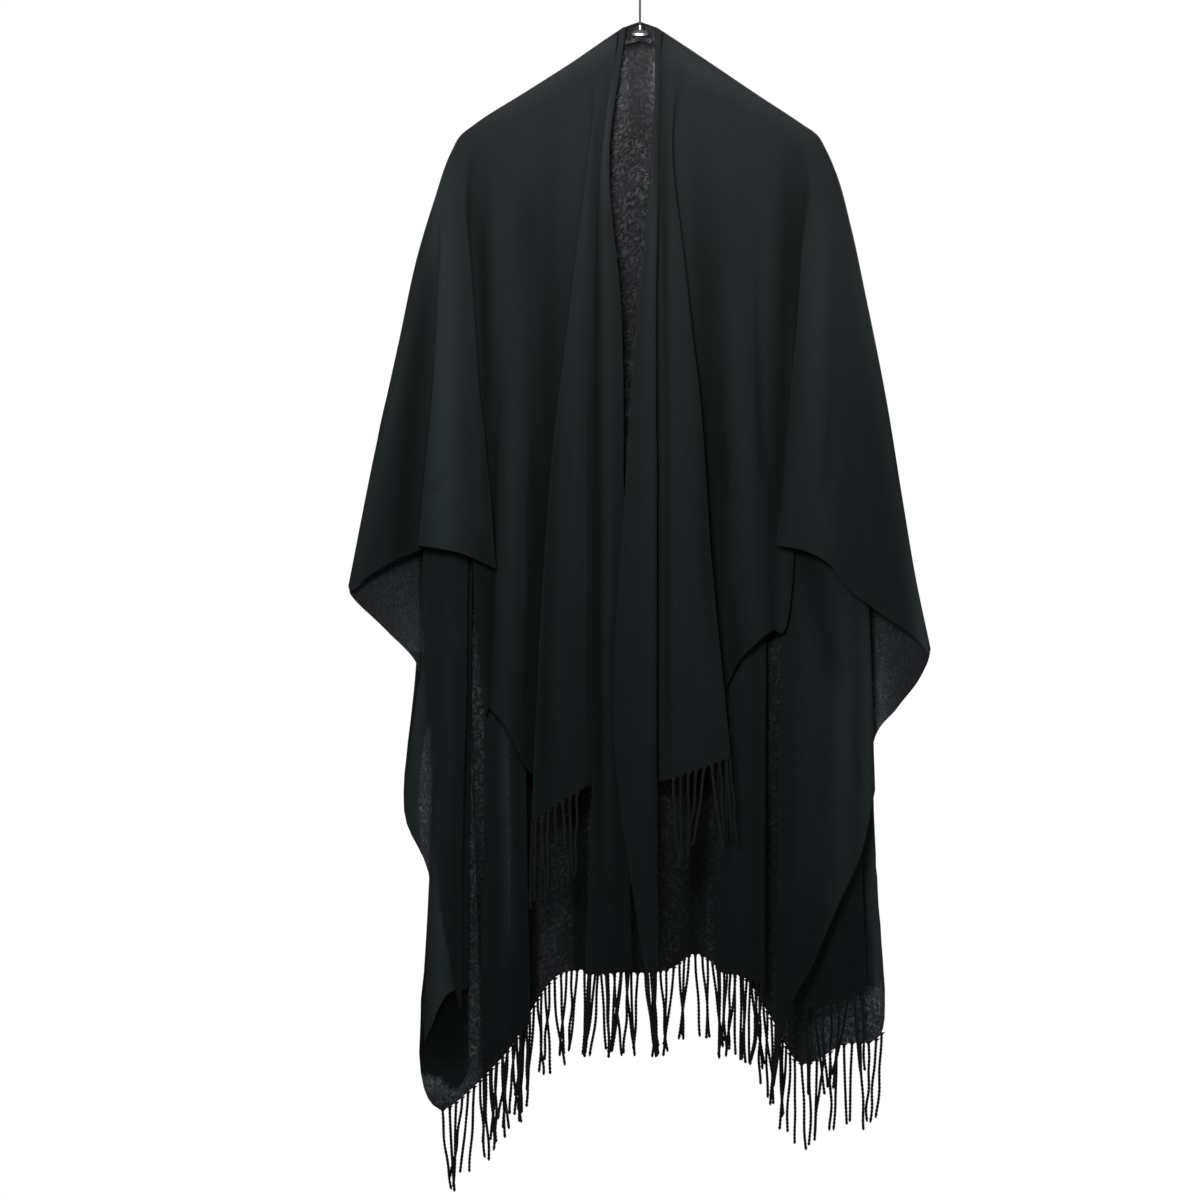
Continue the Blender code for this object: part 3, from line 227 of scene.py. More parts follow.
# node; folds; side (-1 front, +1 back); whether it lies inside the outer layer; its flat
# width, length and area as cut, in metres; and what other solids it stands for
Panel = namedtuple("Panel", "node folds side inner width length area others", defaults=((),))
PANELS = (
    Panel("back", BACK, 1, False, 1.50, 1.14, 0.66,
          ("back_side_left", "back_side_right", "back_sleeve_left", "back_sleeve_right")),
    Panel("front_left", FRONT_LEFT, -1, False, 0.76, 0.88, 0.24, ("sleeve_left",)),
    Panel("front_right", FRONT_RIGHT, -1, False, 0.78, 0.86, 0.24, ("sleeve_right",)),
    Panel("slit_fold_left", ROLL_LEFT, -1, False, 0.04, 1.05, 0.040),
    Panel("slit_fold_right", ROLL_RIGHT, -1, False, 0.05, 1.05, 0.048),
    Panel("middle_fold_left", MIDDLE_LEFT, -1, True, 0.08, 1.06, 0.062),
    Panel("middle_fold_right", MIDDLE_RIGHT, -1, True, 0.07, 1.00, 0.056),
    Panel("side_fold_left", SIDE_LEFT, -1, True, 0.07, 1.00, 0.045),
    Panel("side_fold_right", SIDE_RIGHT, -1, True, 0.13, 1.02, 0.080),
    Panel("under_fold_left", UNDER_LEFT, 1, True, 0.05, 0.98, 0.032),
    Panel("under_fold_right", UNDER_RIGHT, 1, True, 0.09, 0.98, 0.050),
)

# ---- fringe ----
# each fringed stretch, and the fold lines between which its strands hang
HEMS = {
    "back": ("corner_left", "corner_right"),
    "front_left": ("flap_inner", "under_flap"),
    "front_right": ("flap_inner", "under_flap"),
    "slit_fold_left": ("slit_edge", "tuck"),
    "slit_fold_right": ("slit_edge", "tuck"),
    "middle_fold_left": ("inner", "outer"),
    "middle_fold_right": ("inner", "outer"),
    "under_fold_right": ("inner", "outer"),
}
STRAND_PITCH = 0.0093      # one knotted strand from the next
STRAND_RADIUS = 0.00150
STRAND_LENGTH = 0.092
STRAND_RINGS = 46
STRAND_SIDES = 8
TWIST_PITCH = 0.0085       # length of one turn of the yarn's two plies
PLY_DEPTH = 0.22           # how deep the groove between the plies is, of the radius
ARCH_HEIGHT = 0.0042       # how far down the cloth's edge gathers into a strand
STRAND_SEED = 7
TIP_LEAN = 0.009           # how far a group of tips may stray sideways
TIP_SAG = 0.004            # and a tip to the front or rear


# ---- where the cloth shows its other face, and painted shade of hollows ----
# Inside an outline of (x, drop), in centimetres, a turned edge shows the other face of the
# cloth (other 1) or the same one (other 0), with the painted shade of a hollow of the given depth, 0 to 1.
Turned = namedtuple("Turned", "node inside other hollow outline")
TURNED = (
    Turned("back", True, 1, 0, (
        (-22.2, 75.5), (-23.2, 77.5), (-24, 79.5), (-24.4, 82), (-24.6, 86), (-24.6, 91), (-23.8, 95),
        (-29, 95), (-29, 70), (-24, 70))),
    # a turned corner in shadow: the plain face, with painted shade of a deep hollow
    Turned("back", True, 1, 0.9, (
        (-19.1, 106.5), (-21.4, 106.5), (-24.6, 113.4), (-24.8, 117), (-22.3, 117.6), (-21, 119),
        (-20.2, 118.6), (-19, 116.6), (-19.2, 113))),
    Turned("back", True, 1, 0, ((24.2, 85), (28.8, 85), (28.8, 107.5), (23.6, 107.5))),
    Turned("middle_fold_left", False, 0.42, 0, (
        (-15.5, 76), (-14.7, 77), (-14, 90), (-14.2, 101), (-14.7, 101), (-15.1, 90))),
    Turned("middle_fold_right", False, 0.55, 0, ((9.6, 72), (10.2, 72), (10.4, 84), (9.7, 86))),
)

# ---- creases ----
# A crease runs from (x1, drop1) to (x2, drop2), bowed sideways by bow; width is half its
# breadth and rise its height off the cloth, below 0 for a trough.  All in centimetres.
Crease = namedtuple("Crease", "x1 drop1 x2 drop2 width rise bow", defaults=(0,))


def by_node(**tables):
    """The creases of each stretch, by its node."""
    return {node: [Crease(*row) for row in rows] for node, rows in tables.items()}


CREASES = by_node(
    front_left=(
        (-16.2, 16, -16, 38, 0.9, 0.3, 0.2), (-17.4, 18, -17.3, 46, 0.7, -0.28, 0.1),
        (-13.9, 20, -14.6, 74, 1.1, 0.34, -0.3), (-11.4, 15, -11.9, 66, 0.9, -0.36, -0.3),
        (-8.6, 12, -10.4, 40, 0.7, 0.22, 0.2), (-15.9, 44, -16.4, 73, 0.5, -0.22, 0.2),
        (-12.9, 50, -13.4, 77, 0.4, 0.16, 0.1), (-7.4, 34, -8.6, 70, 0.4, -0.16, 0.2),
        (-6.6, 28, -7.5, 58, 0.4, 0.16, 0.1), (-8.9, 58, -9.7, 84, 0.5, 0.18, 0.1),
        (-7.2, 62, -7.6, 85, 0.35, -0.15, -0.1), (-21.4, 49.6, -23.4, 52.6, 0.5, -0.3, 0.3),
        (-21, 50.8, -23, 53.8, 0.5, 0.24, 0.3), (-20.4, 32, -20.9, 48, 0.8, 0.26, -0.3),
        (-19.3, 42, -18.4, 56, 0.6, -0.18, 0.2), (-18, 47, -20.6, 58, 0.5, 0.14, 0.3),
        (-27, 44, -28.6, 59, 0.9, 0.22, 0.2), (-25.4, 38, -26.6, 57, 0.8, -0.26, 0.1),
    ),
    front_right=(
        (11.3, 16, 11.6, 62, 1, 0.34, 0.2), (8.4, 14, 9.6, 60, 0.9, -0.34, 0.2),
        (14.2, 15, 14, 52, 0.8, 0.2, -0.2), (15.7, 22, 15.4, 64, 0.7, -0.3, 0.1),
        (12.6, 38, 13.4, 66, 0.45, -0.18, 0.1), (5.6, 34, 7, 70, 0.5, 0.2, 0.3),
        (4.3, 24, 5.2, 56, 0.4, -0.16, 0.2), (6.8, 62, 7.9, 80, 0.5, 0.18, 0.1),
        (5.4, 66, 5.6, 82, 0.4, -0.16, -0.1), (21.4, 24, 20, 58, 0.8, -0.3, 0.3),
        (19, 30, 17.6, 54, 0.7, 0.22, 0.2), (16.9, 39.4, 19.2, 42.2, 0.45, 0.16, 0.2),
        (16.5, 50.6, 18.8, 53.2, 0.45, -0.18, -0.2), (16.8, 51.6, 18.2, 54.6, 0.4, 0.14, -0.2),
        (24.2, 34, 24, 58, 1, 0.24, 0.3), (26.2, 44, 27.4, 62, 0.8, -0.22, 0.2),
    ),
    slit_fold_left=(
        (-3.2, 30, -3.4, 98, 0.45, 0.18, 0.2), (-2.4, 36, -2.6, 90, 0.35, -0.16, -0.2),
    ),
    slit_fold_right=(
        (0.9, 28, 0.6, 96, 0.45, 0.18, 0.2), (0, 40, 0.1, 86, 0.35, -0.16, -0.2),
    ),
    middle_fold_left=(
        (-16.2, 70, -16, 108, 0.6, -0.26, 0.1), (-14.8, 74, -14.4, 106, 0.6, 0.34, 0.1),
        (-13.4, 76, -13.3, 110, 0.5, -0.22, 0.1),
    ),
    middle_fold_right=(
        (10.2, 66, 10.2, 103, 0.6, 0.24, 0.1), (11.8, 70, 11.9, 104, 0.5, -0.2, -0.1),
    ),
    side_fold_left=(
        (-20.4, 60, -20.6, 96, 0.8, 0.28, 0.2), (-21.9, 66, -22.4, 88, 0.6, -0.2, 0.1),
        (-19.5, 74, -19.6, 104, 0.4, -0.18, 0.1),
    ),
    side_fold_right=(
        (18.3, 56, 17.6, 104, 1, 0.3, 0.3), (21, 60, 20.6, 92, 0.9, -0.28, 0.3),
        (24, 68, 23.4, 88, 0.8, 0.34, -0.4), (22.6, 74, 24.6, 86, 0.5, -0.2, 0.2),
    ),
    back=(
        (-0.2, 8, -0.8, 66, 2.6, -1.3, 0.1), (-18.6, 56, -18.6, 122, 2, -1.9, 0.1),
        (14.6, 50, 14.4, 92, 2, -1.4, 0.1), (6, 22, 6.6, 96, 1, 0.34, 0.5),
        (-6.4, 18, -7.4, 92, 1, -0.34, -0.4), (-12.4, 26, -11.6, 98, 0.9, 0.3, 0.5),
        (12.6, 30, 12, 100, 0.9, -0.3, -0.4), (0.8, 40, 0.4, 96, 0.7, 0.24, 0.3),
        (18.6, 28, 19.4, 102, 0.9, 0.28, 0.4), (-23.6, 40, -24.6, 68, 0.8, 0.26, 0.3),
        (26, 44, 27, 70, 0.8, -0.24, 0.3), (21.6, 98, 21.2, 112, 0.5, 0.3, 0.1),
        (23.4, 97, 23.6, 110, 0.5, 0.34, 0.1), (19.6, 99, 19, 113, 0.45, 0.26, 0.1),
        (25.2, 98, 25.8, 109, 0.45, 0.24, 0.1),
    ),
)

# Painted light and shade: lines as above, whose rise is 1 for cloth painted twice as pale
# and -1 for cloth painted half as pale.
PAINTED_LIGHT_LINES = by_node(
    front_left=(
        (-22.4, 13.7, 0.5, -0.5, 1.5, 0.85), (-19.5, 8, -34.5, 73, 1, 0.75),
        (-21.9, 6, -21.5, 80, 1.8, 0.95), (-22.6, 16, -28, 74, 1.3, -1.3),
        (-17.3, 12, -16.7, 60, 0.7, -1.3), (-17.4, 54, -17, 76, 1.1, -1.3), (-9.6, 4, -11, 98, 1.2, -1.25),
        (-12, 14, -11.6, 50, 1.6, -0.35), (-12.3, 38, -12.6, 72, 0.5, 0.45), (-14.4, 16, -14.2, 70, 1, 0.2),
        (-6.7, 58, -7.4, 92, 1.6, -0.25), (-5, 2, -4.6, 100, 0.45, -2),
    ),
    slit_fold_left=(
        (-4.8, 2, -4.5, 104, 0.45, -2), (-4.2, -8, -3.6, 24, 0.8, 0.8), (-2.8, 50, -2.8, 108, 0.8, -0.35),
        (-4, 82, -4, 112, 1.6, -0.2),
    ),
    front_right=(
        (-3, -0.5, 23.5, 14.6, 1.5, 0.65), (21.5, 8, 34, 83, 1.1, 0.9), (30.4, 46, 33.6, 90, 1.8, 1.5),
        (6.4, 8, 8.2, 74, 1.2, -1.15), (8.6, 14, 8.4, 56, 1.3, -0.45), (16.6, 10, 16.4, 50, 1.6, -0.45),
        (12.7, 22, 12.7, 60, 0.8, 0.35), (16.8, 10, 14.9, 62, 0.9, -1.3), (20.2, 12, 20, 70, 1.7, 0.6),
        (23, 4, 25, 46, 2, 0.25), (2.5, -4, 2.9, 90, 0.45, -2),
    ),
    slit_fold_right=(
        (2.1, -4, 2.5, 90, 0.4, -1.8), (1.4, 2, 1.5, 92, 0.6, 0.45),
    ),
    side_fold_right=(
        (17, 52, 22.4, 76, 1.4, -0.8), (20.4, 56, 19.6, 102, 2, 0.35), (22.8, 50, 22.4, 116, 1.7, 1),
        (25.7, 52, 25.2, 110, 1.2, 1.5),
    ),
    under_fold_right=(
        (26.4, 80, 26.4, 124, 1.2, 1.4),
    ),
    side_fold_left=(
        (-24.8, 56, -24.6, 92, 0.9, 0.9),
    ),
    under_fold_left=(
        (-21.8, 84, -22.2, 124, 2.4, 1.9),
    ),
    middle_fold_left=(
        (-14.9, 70, -14.5, 108, 0.5, 1),
    ),
    back=(
        (0.2, -14, 0, 14, 3, 1.5), (-0.4, 12, -1.2, 44, 3, -0.75), (-25.4, 60, -25, 108, 2.8, 1.8),
        (-18.5, 60, -18.8, 130, 2, 0.5), (-18.8, 100, -18.8, 134, 1.2, 0.9), (6.8, 94, 7.2, 116, 1.2, 1.3),
        (3.6, 80, 3.8, 114, 0.8, -0.8), (8.6, 82, 8.6, 106, 0.7, -0.8), (14.5, 56, 14.3, 120, 2, -1.2),
        (6, 82, 6.4, 120, 3.6, -0.7), (-0.2, 90, 0, 114, 0.9, 1.2), (-11.4, 90, -11.2, 116, 0.9, 1.1),
        (18.6, 102, 18.6, 124, 2.4, 1.5), (22.8, 98, 22.8, 126, 2.6, 1.5), (26.6, 62, 26.6, 120, 1.6, 2),
        (-28, 116, -14, 120, 2.6, 2.2),
    ),
)

# ---- curves ----
def smooth_step(value):
    """0 below 0, 1 above 1, and a smooth rise between them."""
    value = np.clip(value, 0.0, 1.0)
    return value * value * (3.0 - 2.0 * value)


def slopes_at(knots, values):
    """Slope of a smooth curve through the rows of values, at each knot."""
    gaps = np.diff(knots)[:, None]
    steps = np.diff(values, axis=0) / gaps
    inner = (steps[:-1] * gaps[1:] + steps[1:] * gaps[:-1]) / (gaps[:-1] + gaps[1:])
    return np.vstack([steps[:1], inner, steps[-1:]])


def curve_at(knots, values, places):
    """Cubic curve through the rows of values, read at each place."""
    slopes = slopes_at(knots, values)
    i = np.clip(np.searchsorted(knots, places) - 1, 0, len(knots) - 2)
    span = (knots[i + 1] - knots[i])[:, None]
    t = (places - knots[i])[:, None] / span
    return (values[i] * (2 * t ** 3 - 3 * t ** 2 + 1)
            + slopes[i] * span * (t ** 3 - 2 * t ** 2 + t)
            + values[i + 1] * (3 * t ** 2 - 2 * t ** 3)
            + slopes[i + 1] * span * (t ** 3 - t ** 2))


def crest_points(along):
    """Sideways place and drop of the crest, in centimetres, by the distance along it."""
    found = np.zeros((len(along), 2))
    for crest, chosen in ((CREST_LEFT, along < 0.0), (CREST_RIGHT, along >= 0.0)):
        points = np.array(crest)
        gaps = np.hypot(*np.diff(points, axis=0).T)
        knots = np.concatenate([[0.0], np.cumsum(gaps)])
        found[chosen] = curve_at(knots, points, np.abs(along[chosen]))
    return found


# ---- cloth ----
def fold_places(panel):
    """Where the shell's columns lie, counted in fold lines, close enough everywhere."""
    numbers = np.array([fold[1:] for fold in panel.folds])
    spans = np.abs(np.diff(numbers, axis=0))
    widest = np.hypot(spans[:, 2:7], spans[:, 7:12]).max(axis=1)
    widest = np.maximum(widest, spans[:, 0]) * CM
    places = [0.0]
    for i, width in enumerate(widest):
        steps = max(FOLD_COLUMNS, math.ceil(width / COLUMN_STEP))
        places += [i + (step + 1) / steps for step in range(steps)]
    return np.array(places)


def shell_grid(panel):
    """Mid-cloth points of a stretch, (columns, rows, 3), and the columns' places."""
    numbers = np.array([fold[1:] for fold in panel.folds])
    places = fold_places(panel)
    rows = curve_at(np.arange(len(numbers), dtype=float), numbers, places)
    along = np.copysign(rows[:, 0], rows[:, 2]) if panel.side < 0 else rows[:, 0]
    crest = crest_points(along) * CM
    closing = smooth_step((np.abs(along) * CM - TIP_FROM) / TIP_SPAN)
    outer = OUTER_BEND + (TIP_BEND - OUTER_BEND) * closing
    radius = np.minimum(INNER_BEND if panel.inner else OUTER_BEND, outer)
    behind = NECK_PUSH * (1.0 - smooth_step(np.abs(crest[:, 0]) / NECK_HALF))
    start = behind if panel.side > 0 else np.zeros(len(along))
    turns = np.radians(np.linspace(INNER_TURN if panel.inner else 0.0, 90.0, BEND_ROWS + 1))
    over = np.zeros((len(places), len(turns), 3))
    over[:, :, 0] = crest[:, :1]
    over[:, :, 1] = start[:, None] + panel.side * radius[:, None] * np.sin(turns)
    over[:, :, 2] = NECK_Z - (crest[:, 1] + outer)[:, None] + radius[:, None] * np.cos(turns)
    top = over[:, -1]
    end = NECK_Z - rows[:, 1] * CM
    count = math.ceil((top[:, 2] - end).max() / ROW_STEP)
    levels = np.linspace(0.0, 1.0, count + 1)[1:]
    across = np.vstack([top[:, 0], rows[:, 2:7].T * CM])
    depth = np.vstack([top[:, 1], panel.side * rows[:, 7:12].T * CM])
    down = np.zeros((len(places), count, 3))
    down[:, :, 0] = curve_at(STATIONS, across, levels).T
    down[:, :, 1] = curve_at(STATIONS, depth, levels).T
    down[:, :, 2] = top[:, 2:] + (end - top[:, 2])[:, None] * levels
    return np.concatenate([over, down], axis=1), places


def neighbours(points, axis, step):
    """The grid's points a step ahead and a step behind, and where the edge is in the way."""
    size = points.shape[axis]
    ahead = np.minimum(np.arange(size) + step, size - 1)
    behind = np.maximum(np.arange(size) - step, 0)
    return np.take(points, ahead, axis), np.take(points, behind, axis), ahead - behind < 2 * step


def outward_normals(panel, points):
    """Unit normals of the grid on the cloth's plain face, and which way they point."""
    across, down = (np.subtract(*neighbours(points, axis, 1)[:2]) for axis in (0, 1))
    if not panel.inner:
        down[:, 0] = (0.0, panel.side, 0.0)
    normals = np.cross(across, down)
    normals /= np.maximum(np.linalg.norm(normals, axis=2, keepdims=True), 1e-12)
    facing = np.sign(normals[:, BEND_ROWS:, 1].mean()) * panel.side
    return normals * facing, facing


def seen_from_front(points):
    """Sideways place and drop of the grid's points, in centimetres."""
    return points[:, :, 0] / CM, (NECK_Z - points[:, :, 2]) / CM


def ripples(panel, points, normals):
    """Small uneven waves of hanging wool, a little stronger towards its free edges."""
    seed = 11.3 * [each.node for each in PANELS].index(panel.node)
    columns, rows = points.shape[:2]
    moved = points.copy()
    for i in range(columns):
        for j in range(BEND_ROWS, rows):
            x, _, z = points[i, j]
            broad = noise.noise(Vector((x / BROAD_WAVE[0], seed, z / BROAD_WAVE[1])))
            fine = noise.noise(Vector((x / FINE_WAVE[0], seed + 5.0, z / FINE_WAVE[1])))
            share = smooth_step((j - BEND_ROWS) / 24.0)
            hem = smooth_step((j / (rows - 1) - 0.93) / 0.07)
            height = (0.9 + 0.6 * hem) * broad + 0.35 * fine
            moved[i, j] += normals[i, j] * (height * share * MM)
    return moved


def creased(panel, points, normals):
    """The cloth with its listed creases."""
    height = along_lines(CREASES, panel.node, *seen_from_front(points))
    height[:, :BEND_ROWS] = 0.0
    return points + normals * (height * CM)[:, :, None]


def along_lines(lines, node, x, drop):
    """The lines' rises, summed: soft ridges and troughs that die away at both ends."""
    height = np.zeros_like(x)
    for crease in lines.get(node, ()):
        start = np.array([crease.x1, crease.drop1])
        span = np.array([crease.x2, crease.drop2]) - start
        length = np.hypot(*span)
        ahead = span / length
        share = ((x - start[0]) * ahead[0] + (drop - start[1]) * ahead[1]) / length
        aside = (x - start[0]) * ahead[1] - (drop - start[1]) * ahead[0]
        inside = np.clip(share, 0.0, 1.0)
        aside = aside - crease.bow * np.sin(math.pi * inside)
        ends = smooth_step(inside / 0.35) * smooth_step((1.0 - inside) / 0.25)
        height += crease.rise * ends * np.exp(-(aside / crease.width) ** 2)
    return height


def within(outline, x, drop):
    """1 well inside an outline, 0 outside it, and a soft step at its border."""
    corners = np.array(outline)
    inside = np.zeros(x.shape, dtype=bool)
    nearest = np.full(x.shape, np.inf)
    for (ax, ay), (bx, by) in zip(corners, np.roll(corners, -1, axis=0)):
        wide, deep = bx - ax, by - ay
        meet = ax + (drop - ay) / (deep or 1e-9) * wide
        inside ^= ((ay > drop) != (by > drop)) & (x < meet)
        share = np.clip(((x - ax) * wide + (drop - ay) * deep) / (wide ** 2 + deep ** 2), 0, 1)
        nearest = np.minimum(nearest, np.hypot(x - ax - share * wide, drop - ay - share * deep))
    return smooth_step(0.5 + np.where(inside, nearest, -nearest) / TURN_SOFTNESS)


def turned_faces(panel, points, inside):
    """How far a face shows the cloth's other side, and how deep the painted shade of a hollow on it is."""
    x, drop = seen_from_front(points)
    other = np.zeros_like(x)
    hollow = np.zeros_like(x)
    for turned in TURNED:
        if turned.node == panel.node and turned.inside == inside:
            share = within(turned.outline, x, drop)
            other = np.maximum(other, share * turned.other)
            hollow = np.maximum(hollow, share * turned.hollow)
    return other, hollow


def relief(points, normals):
    """How far each point stands out of the cloth around it, from -1 to 1."""
    total = np.zeros(points.shape[:2])
    for reach, weight in RELIEF_REACHES:
        for axis, grid_step in ((0, COLUMN_STEP), (1, ROW_STEP)):
            ahead, behind, edge = neighbours(points, axis, max(int(reach / grid_step), 1))
            proud = ((points - (ahead + behind) / 2) * normals).sum(axis=2)
            proud[(edge, slice(None)) if axis == 0 else (slice(None), edge)] = 0.0
            total += weight * np.tanh(proud / (0.22 * reach))
    return np.clip(total, -1.0, 1.0)


def cloth_uv(points):
    """Distance across and down the cloth, in metres, for each point of the grid."""
    wide = np.linalg.norm(np.diff(points, axis=0) * (1.0, SIDE_STRETCH, 1.0), axis=2)
    u = np.concatenate([np.zeros((1, points.shape[1])), np.cumsum(wide, axis=0)])
    u -= u[len(points) // 2]
    deep = np.linalg.norm(np.diff(points, axis=1), axis=2)
    v = np.concatenate([np.zeros((len(points), 1)), np.cumsum(deep, axis=1)], axis=1)
    return np.stack([u, v], axis=2)


def rim_places(columns, rows):
    """Grid places round the shell's edge, in order."""
    top = [(i, 0) for i in range(columns)]
    right = [(columns - 1, j) for j in range(1, rows)]
    bottom = [(i, rows - 1) for i in range(columns - 2, -1, -1)]
    left = [(0, j) for j in range(rows - 2, 0, -1)]
    return top + right + bottom + left


def smooth_mesh(name, vertices, faces):
    """Mesh of smooth faces."""
    mesh = bpy.data.meshes.new(name)
    mesh.from_pydata(vertices, [], faces)
    mesh.polygons.foreach_set("use_smooth", np.ones(len(faces), dtype=bool))
    return mesh


def put_values(mesh, label, values):
    """Name a value at each of the mesh's points, for its material to read."""
    attribute = mesh.attributes.new(label, "FLOAT", "POINT")
    attribute.data.foreach_set("value", values.astype(np.float32))


def shell_mesh(panel, points, normals, facing):
    """Closed shell: plain face, speckled face, and a softly rounded rim between them."""
    columns, rows = points.shape[:2]
    rim = rim_places(columns, rows)
    ring = np.array([points[i, j] for i, j in rim])
    inward = [(min(max(i, 1), columns - 2), min(max(j, 1), rows - 2)) for i, j in rim]
    away = ring - np.array([points[i, j] for i, j in inward])
    away /= np.maximum(np.linalg.norm(away, axis=1, keepdims=True), 1e-9)
    half = normals * (WALL / 2)
    vertices = np.concatenate([(points + half).reshape(-1, 3), (points - half).reshape(-1, 3),
                               ring + away * EDGE_ROUND])
    index = np.arange(columns * rows).reshape(columns, rows)
    quads = np.stack([index[:-1, :-1], index[1:, :-1], index[1:, 1:], index[:-1, 1:]], axis=2)
    quads = quads.reshape(-1, 4)
    other = columns * rows
    edge = np.array([index[i, j] for i, j in rim])
    after = np.roll(edge, -1)
    middle = 2 * other + np.arange(len(rim))
    beyond = np.roll(middle, -1)
    strips = np.concatenate([np.stack([after, edge, middle, beyond], axis=1),
                             np.stack([beyond, middle, edge + other, after + other], axis=1)])
    if facing < 0:
        quads, strips = quads[:, ::-1], strips[:, ::-1]
    faces = np.concatenate([quads, quads[:, ::-1] + other, strips])
    mesh = smooth_mesh("wool_" + panel.node, vertices.tolist(), faces.tolist())
    slots = np.repeat(np.arange(3, dtype=np.int32), (len(quads), len(quads), len(strips)))
    mesh.polygons.foreach_set("material_index", slots)
    flat = cloth_uv(points).reshape(-1, 2)
    layer = mesh.uv_layers.new(name="cloth")
    corners = np.zeros(len(mesh.loops), dtype=np.int32)
    mesh.loops.foreach_get("vertex_index", corners)
    every = np.concatenate([flat, flat, flat[edge]])[corners]
    layer.data.foreach_set("uv", every.astype(np.float32).ravel())
    proud = relief(points, normals)
    shown = [turned_faces(panel, points, side) for side in (False, True)]
    # painted light and shade from the table's lines; on the back only its inside face gets it
    nap_and_painted_light = along_lines(PAINTED_LIGHT_LINES, panel.node, *seen_from_front(points))
    values = {"nap_and_painted_light": (0.0 * nap_and_painted_light if panel.node == "back" else nap_and_painted_light, nap_and_painted_light),
              # relief that drives the painted shade and highlight, with the turned hollows' painted shade
              # added
              "relief": [(1.0 - hollow) * sign * proud - 1.3 * hollow
                         for sign, (_, hollow) in zip((1.0, -1.0), shown)],
              "other": [other_face for other_face, _ in shown]}
    for label, (outer, inner) in values.items():
        outer = outer.ravel()
        put_values(mesh, label, np.concatenate([outer, inner.ravel(), outer[edge]]))
    return mesh


def add_piece(mesh, materials):
    """Object of the poncho, named as its mesh, that rides on its one body."""
    mesh.update()
    for material in materials:
        mesh.materials.append(material)
    piece = bpy.data.objects.new(mesh.name, mesh)
    bpy.context.scene.collection.objects.link(piece)
    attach(piece, "root")
    return piece


def cloth_piece(panel, materials):
    """A stretch of the cloth, and the grid that its fringe hangs from."""
    points, places = shell_grid(panel)
    normals, facing = outward_normals(panel, points)
    points = ripples(panel, creased(panel, points, normals), normals)
    normals, facing = outward_normals(panel, points)
    plain, speckled, edge = materials
    turned = panel.inner and panel.side > 0
    piece = add_piece(shell_mesh(panel, points, normals, facing),
                      (speckled, plain, edge) if turned else materials)
    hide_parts(panel.node, *panel.others)
    return piece, points, normals, places


# ---- fringe ----
def strand_roots(panel, points, normals, places):
    """Evenly spaced roots along a hem: place, direction down, outward and sideways."""
    names = [fold.name for fold in panel.folds]
    first, last = (names.index(name) for name in HEMS[panel.node])
    chosen = (places >= first - 1e-6) & (places <= last + 1e-6)
    edge = points[chosen, -1]
    down = edge - points[chosen, -3]
    down /= np.linalg.norm(down, axis=1, keepdims=True)
    lengths = lengths_along(edge)
    count = max(round(lengths[-1] / STRAND_PITCH), 2)
    pitch = lengths[-1] / count
    roots = []
    for number in range(count):
        read = [np.array([np.interp((number + 0.5) * pitch, lengths, values[:, k]) for k in range(3)])
                for values in (edge, down, normals[chosen, -1])]
        side = np.cross(read[1], read[2])
        roots.append((*read, side / np.linalg.norm(side)))
    return roots, pitch


def lengths_along(path):
    """Distance of each point of a path from its start."""
    return np.concatenate([[0.0], np.cumsum(np.linalg.norm(np.diff(path, axis=0), axis=1))])


def strand_tips(count, pitch, draw):
    """Sideways shift of each strand's tip: neighbours cling together in twos and threes."""
    shifts = []
    while len(shifts) < count:
        group = min(draw.choice((1, 1, 2, 2, 2, 3)), count - len(shifts))
        lean = draw.uniform(-TIP_LEAN, TIP_LEAN)
        for member in range(group):
            closing = ((group - 1) / 2 - member) * pitch * draw.uniform(0.62, 0.92)
            shifts.append(lean + closing)
    return shifts


def swing(waves, share):
    """Sum of a strand's uneven waves at a share of its length."""
    return sum(height * math.sin(6.28 * share * (k + 0.7) * rate + phase)
               for k, (rate, phase, height) in enumerate(waves))


def strand_path(root, shift, sag, length, draw):
    """Centre line of a strand: out of the hem along the cloth, then down, a little wavy."""
    place, down = root[:2]
    waves = [(draw.uniform(0.6, 1.3), draw.uniform(0.0, 6.28), draw.uniform(-1.0, 1.0))
             for _ in range(4)]
    path = []
    for share in np.linspace(0.0, 1.0, STRAND_RINGS):
        settle = min(share / 0.12, 1.0)
        along = down * (share * length) * (1.0 - 0.75 * settle)
        fall = np.array([0.0, 0.0, -1.0]) * (share * length) * (0.75 * settle)
        wave_x, wave_y = (swing(part, share) - swing(part, 0.0) for part in (waves[:2], waves[2:]))
        bend = np.array([wave_x * 0.0013 * share ** 0.5,
                         wave_y * 0.0011 * share ** 0.5 + sag * share, 0.0])
        path.append(place + along + fall + np.array([shift * (share ** 1.4), 0.0, 0.0]) + bend)
    return np.array(path)


